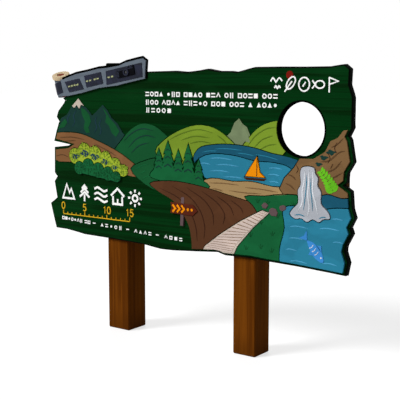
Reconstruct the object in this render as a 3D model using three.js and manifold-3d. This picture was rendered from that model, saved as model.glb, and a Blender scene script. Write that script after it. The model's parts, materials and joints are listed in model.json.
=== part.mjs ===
// A park interpretation sign: waney planks on two timber posts, with an oval face opening,
// a raised landscape picture and a header plaque in the form of a strip of film.
// Millimetres. +X runs along the board, -Y is the side that is read, +Z is up.

import * as THREE from "three";
import Module from "manifold-3d";
import { mergeVertices } from "three/addons/utils/BufferGeometryUtils.js";

const wasm = await Module();
wasm.setup();

// Driving dimensions of the board.
const boardLength = 2100;
const boardHeight = 1040;
const boardBottom = 555;
const plankThickness = 34;
const plankGap = 0.6;

// Clearance where one piece is cut to fit another, and the overrun of a cut past a face.
const fitGap = 0.3;
const overrun = 60;

// Posts. The housing is the notch in a post's front face that takes the board.
const leftPostSize = 166;
const rightPostSize = 150;
const postSpacing = 934;
const postMiddle = -73;
const postChamfer = 6;
const housingDepth = 9;
const leftPostRise = 42;
const rightPostDrop = 30;

// Battens behind the board.
const battenWidth = 90;
const battenThickness = 35;
const battenEndMargin = 50;

// Flanged timber screws, one for each plank at each post.
const screwShankRadius = 5;
const screwHeadRadius = 9.5;
const screwHeadHeight = 7;
const screwFlangeRadius = 14;
const screwFlangeThickness = 3;
const screwBite = 22;
const screwTipLength = 8;
const screwSides = 12;

// Face opening and its edging.
const openingWidth = 286;
const openingHeight = 293;
const openingCentreShares = [0.3624, 0.7067];
const edgingThickness = 5;

// Raised picture.
const fieldThickness = 5;
const fieldStep = 1;
const fieldLine = 5;
const pictureMargin = 18;

// Header plaque.
const stripLength = 742;
const stripHeight = 118;
const stripTilt = THREE.MathUtils.degToRad(10);
const stripThickness = 8;
const stripBacking = 6;
const stripBandWidth = 11;
const frameThickness = 3;
const cameraThickness = 5;
const cameraWidth = 136;
const cameraHeight = 46;
const lensRadius = 21.5;
const lensBore = 12;
const lensThickness = 5;
const stripOriginShares = [-0.475, 0.891];

// Roll at the plaque's left end: heights are from the strip's mid-height along the roll's axis.
// Its end disc is cut at a slant that faces the reader.
const rollRadius = 46;
const rollFoot = -52;
const rollTop = 87;
const rollOffset = 6;
const rollLean = THREE.MathUtils.degToRad(6);
const rollCutAngle = THREE.MathUtils.degToRad(27.5);
const rollCutTurn = THREE.MathUtils.degToRad(43);
const rollDiscRadius = 55;
const rollDiscThickness = 20;
const rollCoreRadius = 24;
const rollCoreDrop = 4;
const rollSides = 32;
const stripLap = 4;

// The first frame wraps round the roll's front and runs on over the strip.
const wrapSteps = 6;
const wrapRun = 31;
const wrapFoot = -37;
const wrapHead = 34;

// Outline of the board as shares of its length and height, anticlockwise from the lower left.
const bottomEdgeShares = [
  [-0.4976, 0.034], [-0.453, 0.033], [-0.424, 0.027], [-0.379, 0.016], [-0.283, 0.013],
  [-0.149, 0.005], [-0.088, -0.008], [-0.043, -0.006], [0.037, 0.007], [0.109, 0.02],
  [0.134, 0.008], [0.218, 0.013], [0.275, 0.007], [0.35, 0.003], [0.422, -0.004], [0.494, -0.012],
];
const rightEdgeShares = [
  [0.501, 0.058], [0.491, 0.114], [0.494, 0.142], [0.51, 0.204], [0.504, 0.235], [0.516, 0.283],
  [0.508, 0.329], [0.504, 0.415], [0.482, 0.442], [0.491, 0.456], [0.493, 0.503], [0.509, 0.557],
  [0.499, 0.664], [0.494, 0.681], [0.504, 0.719], [0.504, 0.869], [0.501, 0.888], [0.493, 0.931],
  [0.494, 0.979],
];
const topEdgeShares = [
  [0.502, 1.011], [0.479, 1.031], [0.436, 1.019], [0.224, 1.018], [0.205, 1.01], [0.168, 0.992],
  [0.15, 0.997], [0.112, 0.997], [0.075, 1.009], [0.048, 1.001], [0.008, 0.992], [-0.035, 0.998],
  [-0.121, 0.994], [-0.25, 0.982], [-0.36, 0.965], [-0.42, 0.94], [-0.436, 0.91],
  [-0.4375, 0.857], [-0.452, 0.8405],
];
const leftEdgeShares = [
  [-0.46, 0.833], [-0.452, 0.82], [-0.456, 0.806], [-0.48, 0.757], [-0.488, 0.719],
  [-0.476, 0.69], [-0.487, 0.636], [-0.498, 0.572], [-0.431, 0.556], [-0.439, 0.55],
  [-0.497, 0.536], [-0.499, 0.379], [-0.489, 0.357], [-0.502, 0.325], [-0.492, 0.225],
  [-0.52, 0.187], [-0.512, 0.129],
];

// Heights of the joints between planks at the left and right ends, from the top down, with
// how far each joint wanders from a straight line and in how many waves.
const jointShares = [
  { left: 0.82, right: 0.802, wander: 0.004, waves: 2 },
  { left: 0.69, right: 0.681, wander: -0.005, waves: 1.5 },
  { left: 0.553, right: 0.442, wander: 0.006, waves: 2 },
  { left: 0.357, right: 0.235, wander: -0.006, waves: 1.5 },
  { left: 0.225, right: 0.114, wander: 0.005, waves: 2 },
];
const jointEndShare = 0.48;
const jointSteps = 18;

const battenPlaceShares = [-0.39, -0.02, 0.462];
const battenNames = ["batten_left", "batten_middle", "batten_right"];

const paints = {
  plank: 0x03300d,
  timber: 0x6b3907,
  batten: 0x5a3212,
  steel: 0x8c8f92,
  edging: 0x0a0c0b,
  stripFace: 0x7a8290,
  stripBack: 0x07080a,
  stripFrame: 0x2b2d42,
  rollDisc: 0xcdb794,
  rollCore: 0x7a3018,
  camera: 0x0b0b0f,
  lens: 0x2b2d42,
  teal: 0x1a3a34,
  cream: 0xcec0b1,
  midGreen: 0x16542e,
  brightGreen: 0x166036,
  olive: 0x7a962c,
  lime: 0x9eb232,
  greyGreen: 0x788764,
  deepBlue: 0x1c5870,
  lakeBlue: 0x2c809c,
  rust: 0x855c3a,
  tan: 0xaa8c5f,
  field: 0x583723,
  bluff: 0x7d5f3e,
  silver: 0xb4b8c0,
  orange: 0xfa960a,
};

function finish(colour, roughness, metalness) {
  return new THREE.MeshStandardMaterial({ color: colour, roughness, metalness });
}

function painted(colour) {
  return finish(colour, 0.62, 0);
}

// Solids: joining and cutting.

function solidOf(geometry) {
  geometry.deleteAttribute("normal");
  geometry.deleteAttribute("uv");
  const merged = mergeVertices(geometry);
  return new wasm.Manifold(new wasm.Mesh({
    numProp: 3,
    vertProperties: new Float32Array(merged.attributes.position.array),
    triVerts: new Uint32Array(merged.index.array),
  }));
}

function geometryOf(solid) {
  const mesh = solid.getMesh();
  const geometry = new THREE.BufferGeometry();
  geometry.setAttribute("position", new THREE.BufferAttribute(mesh.vertProperties, 3));
  geometry.setIndex(new THREE.BufferAttribute(mesh.triVerts, 1));
  geometry.computeVertexNormals();
  return geometry;
}

function addPiece(group, name, shape, material) {
  const geometry = shape.isBufferGeometry ? shape : geometryOf(shape);
  const mesh = new THREE.Mesh(geometry, material);
  mesh.name = name;
  group.add(mesh);
  return mesh;
}

// A prism whose outline is drawn in X and Z, between two depths along Y.
function prismGeometry(outline, front, back) {
  const shape = new THREE.Shape(outline.map(([x, z]) => new THREE.Vector2(x, z)));
  const geometry = new THREE.ExtrudeGeometry(shape, { depth: back - front, bevelEnabled: false });
  geometry.rotateX(Math.PI / 2);
  geometry.translate(0, back, 0);
  return geometry;
}

function prism(outline, front, back) {
  return solidOf(prismGeometry(outline, front, back));
}

function boxSolid(low, high) {
  const geometry = new THREE.BoxGeometry(high[0] - low[0], high[1] - low[1], high[2] - low[2]);
  geometry.translate((low[0] + high[0]) / 2, (low[1] + high[1]) / 2, (low[2] + high[2]) / 2);
  return solidOf(geometry);
}

// Outlines. A corner that is moved keeps its point within the sharpest share of its spread.

const sharpestShare = 0.4;
const ovalSides = 40;

function onBoard([xShare, zShare]) {
  return [xShare * boardLength, zShare * boardHeight];
}

function smoothOutline(points, steps) {
  const vectors = points.map(([x, z]) => new THREE.Vector3(x, 0, z));
  const curve = new THREE.CatmullRomCurve3(vectors, true, "centripetal");
  return curve.getPoints(points.length * steps).slice(0, -1).map(({ x, z }) => [x, z]);
}

// Moves each corner of an anticlockwise outline out by a distance, or in if it is negative.
function growOutline(points, distance) {
  return points.map((point, i) => {
    const before = new THREE.Vector2(...points.at(i - 1));
    const here = new THREE.Vector2(...point);
    const after = new THREE.Vector2(...points[(i + 1) % points.length]);
    const into = here.clone().sub(before).normalize();
    const away = after.sub(here).normalize();
    const normal = new THREE.Vector2(into.y + away.y, -into.x - away.x).normalize();
    const spread = Math.max(sharpestShare, normal.x * into.y - normal.y * into.x);
    return here.addScaledVector(normal, distance / spread).toArray();
  });
}

function anticlockwise(points) {
  const vectors = points.map(([x, z]) => new THREE.Vector2(x, z));
  return THREE.ShapeUtils.isClockWise(vectors) ? [...points].reverse() : points;
}

function ovalOutline(halfWidth, halfHeight, centre) {
  return Array.from({ length: ovalSides }, (_, i) => {
    const angle = (i / ovalSides) * 2 * Math.PI;
    return [centre[0] + halfWidth * Math.cos(angle), centre[1] + halfHeight * Math.sin(angle)];
  });
}

const boardOutline = [
  ...bottomEdgeShares, ...rightEdgeShares, ...topEdgeShares, ...leftEdgeShares,
].map(onBoard);
const openingCentre = onBoard(openingCentreShares);

function openingOutline(shrink) {
  return ovalOutline(openingWidth / 2 - shrink, openingHeight / 2 - shrink, openingCentre);
}

// Height of a table of edge points at a distance along the board.
function edgeHeight(shares, x) {
  const points = shares.map(onBoard).sort((a, b) => a[0] - b[0]);
  const next = Math.min(Math.max(points.findIndex((p) => p[0] > x), 1), points.length - 1);
  const [x0, z0] = points[next - 1];
  const [x1, z1] = points[next];
  return THREE.MathUtils.mapLinear(x, x0, x1, z0, z1);
}

function lowestBoardEdge(from, to) {
  const inside = bottomEdgeShares.map(onBoard).filter(([x]) => x > from && x < to);
  const heights = inside.map(([, z]) => z);
  return Math.min(edgeHeight(bottomEdgeShares, from), edgeHeight(bottomEdgeShares, to), ...heights);
}

function highestBoardEdge(from, to) {
  const inside = topEdgeShares.map(onBoard).filter(([x]) => x > from && x < to);
  const heights = inside.map(([, z]) => z);
  return Math.max(edgeHeight(topEdgeShares, from), edgeHeight(topEdgeShares, to), ...heights);
}

// Joints and planks.

function jointHeight(joint, x) {
  const along = (x / boardLength + jointEndShare) / (2 * jointEndShare);
  const wave = joint.wander * Math.sin(along * joint.waves * 2 * Math.PI);
  return (THREE.MathUtils.lerp(joint.left, joint.right, along) + wave) * boardHeight;
}

function jointLine(joint, shift) {
  const reach = boardLength / 2 + overrun;
  return Array.from({ length: jointSteps + 1 }, (_, i) => {
    const x = THREE.MathUtils.lerp(-reach, reach, i / jointSteps);
    return [x, jointHeight(joint, x) + shift];
  });
}

// The strip of the board between two joints, as an outline that runs past the board's ends.
function plankBand(above, below) {
  const reach = boardLength / 2 + overrun;
  const level = (z) => [[-reach, z], [reach, z]];
  const top = above ? jointLine(above, -plankGap / 2) : level(boardHeight * 2);
  const bottom = below ? jointLine(below, plankGap / 2) : level(-boardHeight);
  return [...bottom, ...top.reverse()];
}

function postCentre(side) {
  return postMiddle + (side * postSpacing) / 2;
}

function screwHeights(x) {
  const lines = jointShares.map((joint) => jointHeight(joint, x));
  const edges = [edgeHeight(topEdgeShares, x), ...lines, edgeHeight(bottomEdgeShares, x)];
  return edges.slice(1).map((below, i) => (edges[i] + below) / 2);
}

const screwPlaces = [-1, 1].flatMap((side) => {
  const x = postCentre(side);
  return screwHeights(x).map((z, row) => ({ side, row, x, z }));
});

function makePlanks(group) {
  const slab = prism(boardOutline, 0, plankThickness);
  const opening = prism(openingOutline(0), -overrun, plankThickness + overrun);
  const pilots = screwPlaces.map(({ x, z }) => pilotHole(x, z));
  const board = pilots.reduce((rest, pilot) => rest.subtract(pilot), slab.subtract(opening));
  const reach = [-boardLength, -overrun, -boardHeight];
  const far = [boardLength, plankThickness + overrun, boardHeight * 2];
  const leftOfOpening = boxSolid(reach, [openingCentre[0], far[1], far[2]]);
  const rightOfOpening = boxSolid([openingCentre[0], reach[1], reach[2]], far);
  const joints = [null, ...jointShares, null];
  joints.slice(1).forEach((below, i) => {
    const band = prism(plankBand(joints[i], below), -overrun, plankThickness + overrun);
    const plank = board.intersect(band);
    const name = `plank_${i + 1}`;
    if (i === 1) {
      addPiece(group, `${name}_long`, plank.intersect(leftOfOpening), painted(paints.plank));
      addPiece(group, `${name}_short`, plank.intersect(rightOfOpening), painted(paints.plank));
    } else {
      addPiece(group, name, plank, painted(paints.plank));
    }
  });
}

function makeEdging(group) {
  const outer = prism(openingOutline(fitGap), 0, plankThickness);
  const bore = prism(openingOutline(edgingThickness), -overrun, plankThickness + overrun);
  addPiece(group, "opening_edging", outer.subtract(bore), finish(paints.edging, 0.45, 0));
}

function makeBattens(group) {
  battenPlaceShares.forEach((place, i) => {
    const x = place * boardLength;
    const sides = [x - battenWidth / 2, x + battenWidth / 2];
    const low = Math.max(...sides.map((at) => edgeHeight(bottomEdgeShares, at))) + battenEndMargin;
    const high = Math.min(...sides.map((at) => edgeHeight(topEdgeShares, at))) - battenEndMargin;
    const geometry = new THREE.BoxGeometry(battenWidth, battenThickness, high - low);
    const batten = addPiece(group, battenNames[i], geometry, finish(paints.batten, 0.8, 0));
    batten.position.set(x, plankThickness + fitGap + battenThickness / 2, (low + high) / 2);
  });
}

// Posts.

const postFront = plankThickness - housingDepth;

function postSize(side) {
  return side < 0 ? leftPostSize : rightPostSize;
}

function postBack(side) {
  return postFront + postSize(side);
}

function postSection(size) {
  const half = size / 2;
  const flat = half - postChamfer;
  const corners = [[flat, -half], [half, -flat], [half, flat], [flat, half],
    [-flat, half], [-half, flat], [-half, -flat], [-flat, -half]];
  return new THREE.Shape(corners.map(([x, y]) => new THREE.Vector2(x, y)));
}

function makePost(group, name, side, topOfPost) {
  const x = postCentre(side);
  const size = postSize(side);
  const timber = new THREE.ExtrudeGeometry(postSection(size), {
    depth: topOfPost - postChamfer * 2,
    bevelEnabled: true,
    bevelThickness: postChamfer,
    bevelSize: postChamfer,
    bevelOffset: -postChamfer,
    bevelSegments: 1,
  });
  timber.translate(x, postFront + size / 2, postChamfer);
  const from = x - size / 2;
  const to = x + size / 2;
  const shoulder = boardBottom + lowestBoardEdge(from, to) - fitGap;
  const head = boardBottom + highestBoardEdge(from, to) + fitGap;
  const housing = boxSolid(
    [from - overrun, postFront - overrun, shoulder],
    [to + overrun, plankThickness + fitGap, head],
  );
  const holes = screwPlaces.filter((place) => place.side === side).map(postHole);
  const post = holes.reduce((rest, hole) => rest.subtract(hole), solidOf(timber).subtract(housing));
  addPiece(group, name, post, finish(paints.timber, 0.75, 0));
}

// Screws lie along Y with the head at the back of the post.

function yCylinder(radius, from, to, sides) {
  const geometry = new THREE.CylinderGeometry(radius, radius, to - from, sides);
  geometry.translate(0, (from + to) / 2, 0);
  return geometry;
}

function holeAt(x, z, from, to) {
  const geometry = yCylinder(screwShankRadius + fitGap * 2, from, to, screwSides);
  geometry.translate(x, 0, z);
  return solidOf(geometry);
}

function pilotHole(x, z) {
  return holeAt(x, z, plankThickness - screwBite - fitGap, plankThickness + overrun);
}

function postHole({ side, x, z }) {
  return holeAt(x, boardBottom + z, postFront - overrun, postBack(side) + overrun);
}

function screwGeometry(side) {
  const tip = plankThickness - screwBite;
  const seat = postBack(side) + fitGap;
  const flange = seat + screwFlangeThickness;
  const profile = [
    [0, tip],
    [screwShankRadius, tip + screwTipLength],
    [screwShankRadius, seat],
    [screwFlangeRadius, seat],
    [screwFlangeRadius, flange],
    [screwHeadRadius, flange],
    [screwHeadRadius, flange + screwHeadHeight],
    [0, flange + screwHeadHeight],
  ];
  return new THREE.LatheGeometry(profile.map(([r, y]) => new THREE.Vector2(r, y)), screwSides);
}

function makeScrews(group) {
  screwPlaces.forEach(({ side, row, x, z }) => {
    const name = `screw_${side < 0 ? "left" : "right"}_${row + 1}`;
    const screw = addPiece(group, name, screwGeometry(side), finish(paints.steel, 0.4, 0.9));
    screw.position.set(x, 0, z);
  });
}

// Picture fields, each on a layer: a higher layer is nearer and thicker. Each field is cut back
// by a dark line from every nearer one. Points are shares of the board's length and height.

const fieldShares = [
  { name: "mountain_teal", colour: paints.teal, layer: 0, points: [
    [-0.49, 0.575], [-0.49, 0.66], [-0.462, 0.715], [-0.44, 0.735], [-0.418, 0.79], [-0.392, 0.83],
    [-0.372, 0.795], [-0.352, 0.765], [-0.338, 0.735], [-0.318, 0.765], [-0.296, 0.8],
    [-0.276, 0.765], [-0.262, 0.725], [-0.238, 0.69], [-0.222, 0.645], [-0.198, 0.605],
    [-0.185, 0.56], [-0.3, 0.53]] },
  { name: "mountain_cap", colour: paints.cream, layer: 1, points: [
    [-0.392, 0.833], [-0.3705, 0.791], [-0.381, 0.797], [-0.389, 0.773], [-0.399, 0.795],
    [-0.409, 0.776], [-0.4175, 0.789]] },
  { name: "ridge_green", colour: paints.midGreen, layer: 0, smooth: true, points: [
    [-0.255, 0.52], [-0.225, 0.6], [-0.19, 0.665], [-0.15, 0.7], [-0.105, 0.69], [-0.07, 0.65],
    [-0.035, 0.6], [-0.01, 0.54], [-0.05, 0.47], [-0.16, 0.45]] },
  { name: "hill_olive", colour: paints.olive, layer: 1, smooth: true, points: [
    [-0.1, 0.55], [-0.065, 0.62], [-0.012, 0.675], [0.042, 0.705], [0.095, 0.695], [0.14, 0.65],
    [0.17, 0.59], [0.1, 0.52], [0.02, 0.455], [-0.06, 0.47]] },
  { name: "crag_grey", colour: paints.greyGreen, layer: 0, points: [
    [0.115, 0.58], [0.14, 0.655], [0.152, 0.675], [0.163, 0.725], [0.178, 0.75], [0.19, 0.72],
    [0.203, 0.705], [0.215, 0.655], [0.235, 0.58]] },
  { name: "hill_light", colour: paints.lime, layer: 1, smooth: true, points: [
    [0.18, 0.57], [0.205, 0.64], [0.235, 0.7], [0.268, 0.732], [0.305, 0.74], [0.33, 0.66],
    [0.31, 0.57], [0.25, 0.55]] },
  { name: "lake_deep", colour: paints.deepBlue, layer: 2, smooth: true, points: [
    [0.032, 0.53], [0.05, 0.58], [0.09, 0.602], [0.15, 0.61], [0.22, 0.6], [0.28, 0.575],
    [0.335, 0.56], [0.375, 0.53], [0.34, 0.48], [0.25, 0.475], [0.1, 0.48], [0.04, 0.49]] },
  { name: "lake_light", colour: paints.lakeBlue, layer: 3, smooth: true, points: [
    [0.035, 0.49], [0.06, 0.535], [0.1, 0.555], [0.17, 0.55], [0.23, 0.53], [0.29, 0.528],
    [0.335, 0.505], [0.35, 0.45], [0.32, 0.4], [0.22, 0.39], [0.1, 0.4], [0.05, 0.43]] },
  { name: "hill_rust", colour: paints.rust, layer: 2, smooth: true, points: [
    [-0.5, 0.605], [-0.44, 0.628], [-0.38, 0.622], [-0.32, 0.588], [-0.26, 0.548], [-0.2, 0.492],
    [-0.15, 0.42], [-0.175, 0.395], [-0.24, 0.42], [-0.32, 0.45], [-0.4, 0.455], [-0.5, 0.465]] },
  { name: "meadow_green", colour: paints.midGreen, layer: 3, smooth: true, points: [
    [-0.19, 0.44], [-0.14, 0.49], [-0.09, 0.512], [-0.04, 0.5], [0.02, 0.46], [0.07, 0.42],
    [0.11, 0.39], [0.12, 0.33], [0.04, 0.3], [-0.06, 0.31], [-0.14, 0.36]] },
  { name: "shore_tan", colour: paints.tan, layer: 4, smooth: true, points: [
    [0.05, 0.385], [0.09, 0.422], [0.16, 0.415], [0.22, 0.422], [0.28, 0.405], [0.335, 0.4],
    [0.34, 0.36], [0.27, 0.335], [0.19, 0.32], [0.12, 0.33], [0.07, 0.35]] },
  { name: "field_brown", colour: paints.field, layer: 5, smooth: true, points: [
    [-0.12, 0.365], [-0.05, 0.388], [0.02, 0.382], [0.09, 0.362], [0.145, 0.34], [0.2, 0.32],
    [0.245, 0.3], [0.23, 0.22], [0.16, 0.13], [0.11, 0.04], [0.08, -0.06], [0.03, -0.05],
    [0.026, 0.05], [0.018, 0.14], [-0.005, 0.215], [-0.038, 0.28], [-0.09, 0.325]] },
  { name: "bank_green", colour: paints.brightGreen, layer: 6, smooth: true, points: [
    [0.14, -0.06], [0.155, 0.07], [0.205, 0.18], [0.24, 0.25], [0.225, 0.3], [0.2, 0.34],
    [0.26, 0.352], [0.31, 0.368], [0.37, 0.36], [0.375, 0.22], [0.365, 0.1], [0.355, -0.05]] },
  { name: "bluff_brown", colour: paints.bluff, layer: 4, points: [
    [0.305, 0.4], [0.318, 0.455], [0.345, 0.51], [0.362, 0.56], [0.4, 0.562], [0.432, 0.6],
    [0.447, 0.655], [0.466, 0.672], [0.482, 0.71], [0.52, 0.72], [0.52, 0.38], [0.45, 0.33],
    [0.38, 0.32], [0.325, 0.35]] },
  { name: "pool_deep", colour: paints.deepBlue, layer: 6, smooth: true, points: [
    [0.4, 0.35], [0.44, 0.388], [0.48, 0.374], [0.54, 0.38], [0.54, 0.24], [0.45, 0.26],
    [0.4, 0.27]] },
  { name: "pool_light", colour: paints.lakeBlue, layer: 7, smooth: true, points: [
    [0.318, 0.3], [0.37, 0.318], [0.43, 0.312], [0.47, 0.325], [0.54, 0.31], [0.55, 0.1],
    [0.52, -0.05], [0.4, -0.05], [0.318, -0.04], [0.308, 0.08], [0.322, 0.2]] },
  { name: "waterfall_silver", colour: paints.silver, layer: 8, smooth: true, points: [
    [0.369, 0.514], [0.386, 0.523], [0.404, 0.515], [0.407, 0.49], [0.415, 0.468], [0.414, 0.43],
    [0.424, 0.4], [0.425, 0.34], [0.446, 0.3], [0.45, 0.272], [0.432, 0.265], [0.42, 0.248],
    [0.402, 0.26], [0.386, 0.243], [0.37, 0.259], [0.352, 0.254], [0.337, 0.275], [0.345, 0.303],
    [0.36, 0.335], [0.359, 0.4], [0.367, 0.43], [0.365, 0.485]] },
];

// Rounded tree crowns: centre and radius as shares of the board's length and height, with the
// height of the ground under the first and last crown.
const groveShares = [
  { name: "grove_light", colour: paints.lime, layer: 4, foot: [0.455, 0.41], crowns: [
    [-0.408, 0.49, 0.046], [-0.37, 0.52, 0.05], [-0.328, 0.505, 0.05], [-0.287, 0.48, 0.048],
    [-0.25, 0.452, 0.042], [-0.22, 0.425, 0.034]] },
  { name: "grove_dark", colour: paints.brightGreen, layer: 6, foot: [0.392, 0.358], crowns: [
    [-0.39, 0.42, 0.038], [-0.355, 0.432, 0.046], [-0.315, 0.415, 0.044], [-0.277, 0.4, 0.04],
    [-0.245, 0.385, 0.03]] },
];

// Pines: place of the foot, height and half width as shares.
const pineShares = [
  [-0.088, 0.415, 0.15, 0.021], [-0.056, 0.41, 0.2, 0.027], [-0.02, 0.4, 0.165, 0.023],
  [0.014, 0.385, 0.215, 0.026], [0.049, 0.37, 0.15, 0.021],
];
const pineMoundShares = [
  [-0.12, 0.41], [-0.1, 0.452], [-0.03, 0.445], [0.04, 0.418], [0.085, 0.378], [0.06, 0.352],
  [-0.03, 0.376], [-0.09, 0.39],
];
const pineTierShares = [[0.12, 1], [0.43, 0.5], [0.4, 0.78], [0.68, 0.32], [0.65, 0.54], [1, 0]];

// A boardwalk that narrows into the distance.
const boardwalkShares = [
  [0.045, -0.04], [0.15, -0.04], [0.176, 0.07], [0.225, 0.18], [0.274, 0.268], [0.252, 0.277],
  [0.186, 0.208], [0.118, 0.12], [0.072, 0.05],
];
const smoothSteps = 3;
const sailShares = [[0.2, 0.45], [0.26, 0.45], [0.245, 0.474], [0.236, 0.556], [0.211, 0.484]];

function discOutline(centre, radius) {
  return ovalOutline(radius, radius, centre).filter((_, i) => i % 2 === 0);
}

// The solid of a field, or a deep grown one that cuts the fields behind it.
function fieldSolid(outline, layer, grow) {
  const front = -fitGap - fieldThickness - fieldStep * layer;
  return grow ? prism(growOutline(outline, grow), -overrun, overrun) : prism(outline, front, -fitGap);
}

function crownOutlines({ crowns, foot }) {
  const discs = crowns.map(([x, z, radius]) => discOutline(onBoard([x, z]), radius * boardHeight));
  const ends = [[crowns[0][0], foot[0]], [crowns.at(-1)[0], foot[1]]];
  const ground = [...ends, ...crowns.map(([x, z]) => [x, z]).reverse()];
  return [...discs, ground.map(onBoard)];
}

function pineOutlines() {
  const trees = pineShares.map(([x, foot, height, halfWidth]) => {
    const right = pineTierShares.map(([up, out]) => [x + out * halfWidth, foot + up * height]);
    const left = pineTierShares.slice(0, -1).reverse()
      .map(([up, out]) => [x - out * halfWidth, foot + up * height]);
    const ends = [-1, 1].map((side) => [x + side * halfWidth, foot]);
    return [...ends, ...right, ...left].map(onBoard);
  });
  return [...trees, smoothOutline(pineMoundShares.map(onBoard), smoothSteps)];
}

function pictureFields() {
  const simple = fieldShares.map(({ name, colour, layer, points, smooth }) => {
    const placed = points.map(onBoard);
    return { name, colour, layer, outlines: [smooth ? smoothOutline(placed, smoothSteps) : placed] };
  });
  const groves = groveShares.map((grove) => ({ ...grove, outlines: crownOutlines(grove) }));
  return [
    ...simple,
    ...groves,
    { name: "pine_stand", colour: paints.brightGreen, layer: 4, outlines: pineOutlines() },
    { name: "boardwalk", colour: paints.cream, layer: 7, outlines: [boardwalkShares.map(onBoard)] },
    { name: "sail", colour: paints.orange, layer: 5, outlines: [sailShares.map(onBoard)] },
  ].sort((a, b) => a.layer - b.layer);
}

function united({ outlines, layer }, grow) {
  const solids = outlines.map((outline) => fieldSolid(anticlockwise(outline), layer, grow));
  return solids.reduce((whole, part) => whole.add(part));
}

// Slivers that the nearer fields cut off are left out.
function largestBody(solid) {
  const bodies = solid.decompose();
  return bodies.reduce((best, body) => (body.volume() > best.volume() ? body : best));
}

function makePicture(group) {
  const canvas = prism(growOutline(boardOutline, -pictureMargin), -overrun, overrun)
    .subtract(prism(openingOutline(-fieldLine), -overrun, overrun));
  pictureFields().forEach((field, i, fields) => {
    const whole = united(field, 0).intersect(canvas);
    const cut = fields.slice(i + 1).reduce(
      (rest, nearer) => rest.subtract(united(nearer, fieldLine)), whole);
    addPiece(group, field.name, largestBody(cut), painted(field.colour));
  });
}

// Header plaque. Its own frame has the roll's axis at X zero and the strip's mid-height at Z zero.

const stripBack = -fitGap;
const stripSeam = stripBack - stripBacking;
const stripFaceBack = stripSeam - fitGap;
const stripFront = stripFaceBack - stripThickness;
const rollDepth = stripFront + rollRadius;
const rollShift = rollOffset + rollTop * Math.sin(rollLean);

// How far the top and bottom edges of the strip wander, as shares of the band's width.
const stripTopWanderShares = [
  [0.09, -0.9], [0.16, -0.2], [0.24, 0.35], [0.36, 0.2], [0.5, 0.3], [0.6, -0.35], [0.72, -0.7],
  [0.79, 0.1], [0.9, 0.25], [0.97, 0.2],
];
const stripBottomWanderShares = [
  [0.97, 0.1], [0.76, 0.3], [0.67, 0.45], [0.47, -0.4], [0.28, 0.2], [0.11, 0.15], [0.05, -0.3],
];
const stripEndShares = [[1.0, 0.36], [0.978, -0.15], [0.966, -0.5]];

// How far the slanted cut has fallen at a place seen from the roll's axis.
function rollCutFall(x, y) {
  const along = x * Math.sin(rollCutTurn) - y * Math.cos(rollCutTurn);
  return along * Math.tan(rollCutAngle);
}

function stripOutline(band) {
  const half = stripHeight / 2;
  const top = stripTopWanderShares.map(([x, up]) => [
    x * stripLength, half + up * stripBandWidth + band]);
  const bottom = stripBottomWanderShares.map(([x, down]) => [
    x * stripLength, -half - down * stripBandWidth]);
  const end = stripEndShares.map(([x, z]) => [x * stripLength + band, z * stripHeight]);
  const start = [half, -half].map((z) => [rollShift - z * Math.tan(rollLean) + stripLap, z]);
  return anticlockwise([start[0], ...top, ...end, ...bottom, start[1]]);
}

const frameShares = [
  { name: "film_frame_2", low: [0.122, -0.35], high: [0.292, 0.24], lean: 0.018 },
  { name: "film_frame_3", low: [0.337, -0.3], high: [0.525, 0.31], lean: 0.004 },
  { name: "film_frame_4", low: [0.57, -0.4], high: [0.954, 0.29], lean: -0.006 },
];
const cameraPlaceShares = [0.788, -0.01];
const lensPlaceShares = [0.795, -0.01];
const cameraOutlineShares = [
  [-0.5, -0.5], [0.5, -0.5], [0.5, 0.5], [0.49, 0.5], [0.48, 0.74], [0.2, 0.74], [0.14, 0.5],
  [-0.5, 0.5],
];

function slantTop(geometry) {
  const place = geometry.attributes.position;
  for (let i = 0; i < place.count; i += 1) {
    const z = place.getZ(i);
    if (z > 0) {
      place.setZ(i, z - rollCutFall(place.getX(i), place.getY(i)));
    }
  }
  geometry.computeVertexNormals();
  return geometry;
}

function zLathe(profile, sides) {
  const geometry = new THREE.LatheGeometry(profile.map(([r, z]) => new THREE.Vector2(r, z)), sides);
  geometry.rotateX(Math.PI / 2);
  return geometry;
}

function ringProfile(inner, outer, low, high) {
  return [[inner, low], [outer, low], [outer, high], [inner, high], [inner, low]];
}

function rodProfile(radius, low, high) {
  return [[0, low], [radius, low], [radius, high], [0, high]];
}

// The rod that a round piece of the roll fills, with its clearance, to cut the strip with.
function rollCutter(radius, low) {
  const rod = slantTop(zLathe(rodProfile(radius + fitGap, low, boardHeight), rollSides));
  return solidOf(rod.rotateY(-rollLean).translate(rollShift, rollDepth, 0));
}

// The section of the first frame: an arc round the roll, then a straight run over the strip.
function wrapSection() {
  const step = (2 * Math.PI) / rollSides;
  const arc = (radius) => Array.from({ length: wrapSteps + 1 }, (_, i) => {
    const angle = (wrapSteps - i) * step;
    return new THREE.Vector2(-radius * Math.sin(angle), -radius * Math.cos(angle));
  });
  const inner = rollRadius + fitGap;
  const outer = inner + frameThickness;
  const run = [new THREE.Vector2(wrapRun, -outer), new THREE.Vector2(wrapRun, -inner)];
  return new THREE.Shape([...arc(outer), ...run, ...arc(inner).reverse()]);
}

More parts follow.
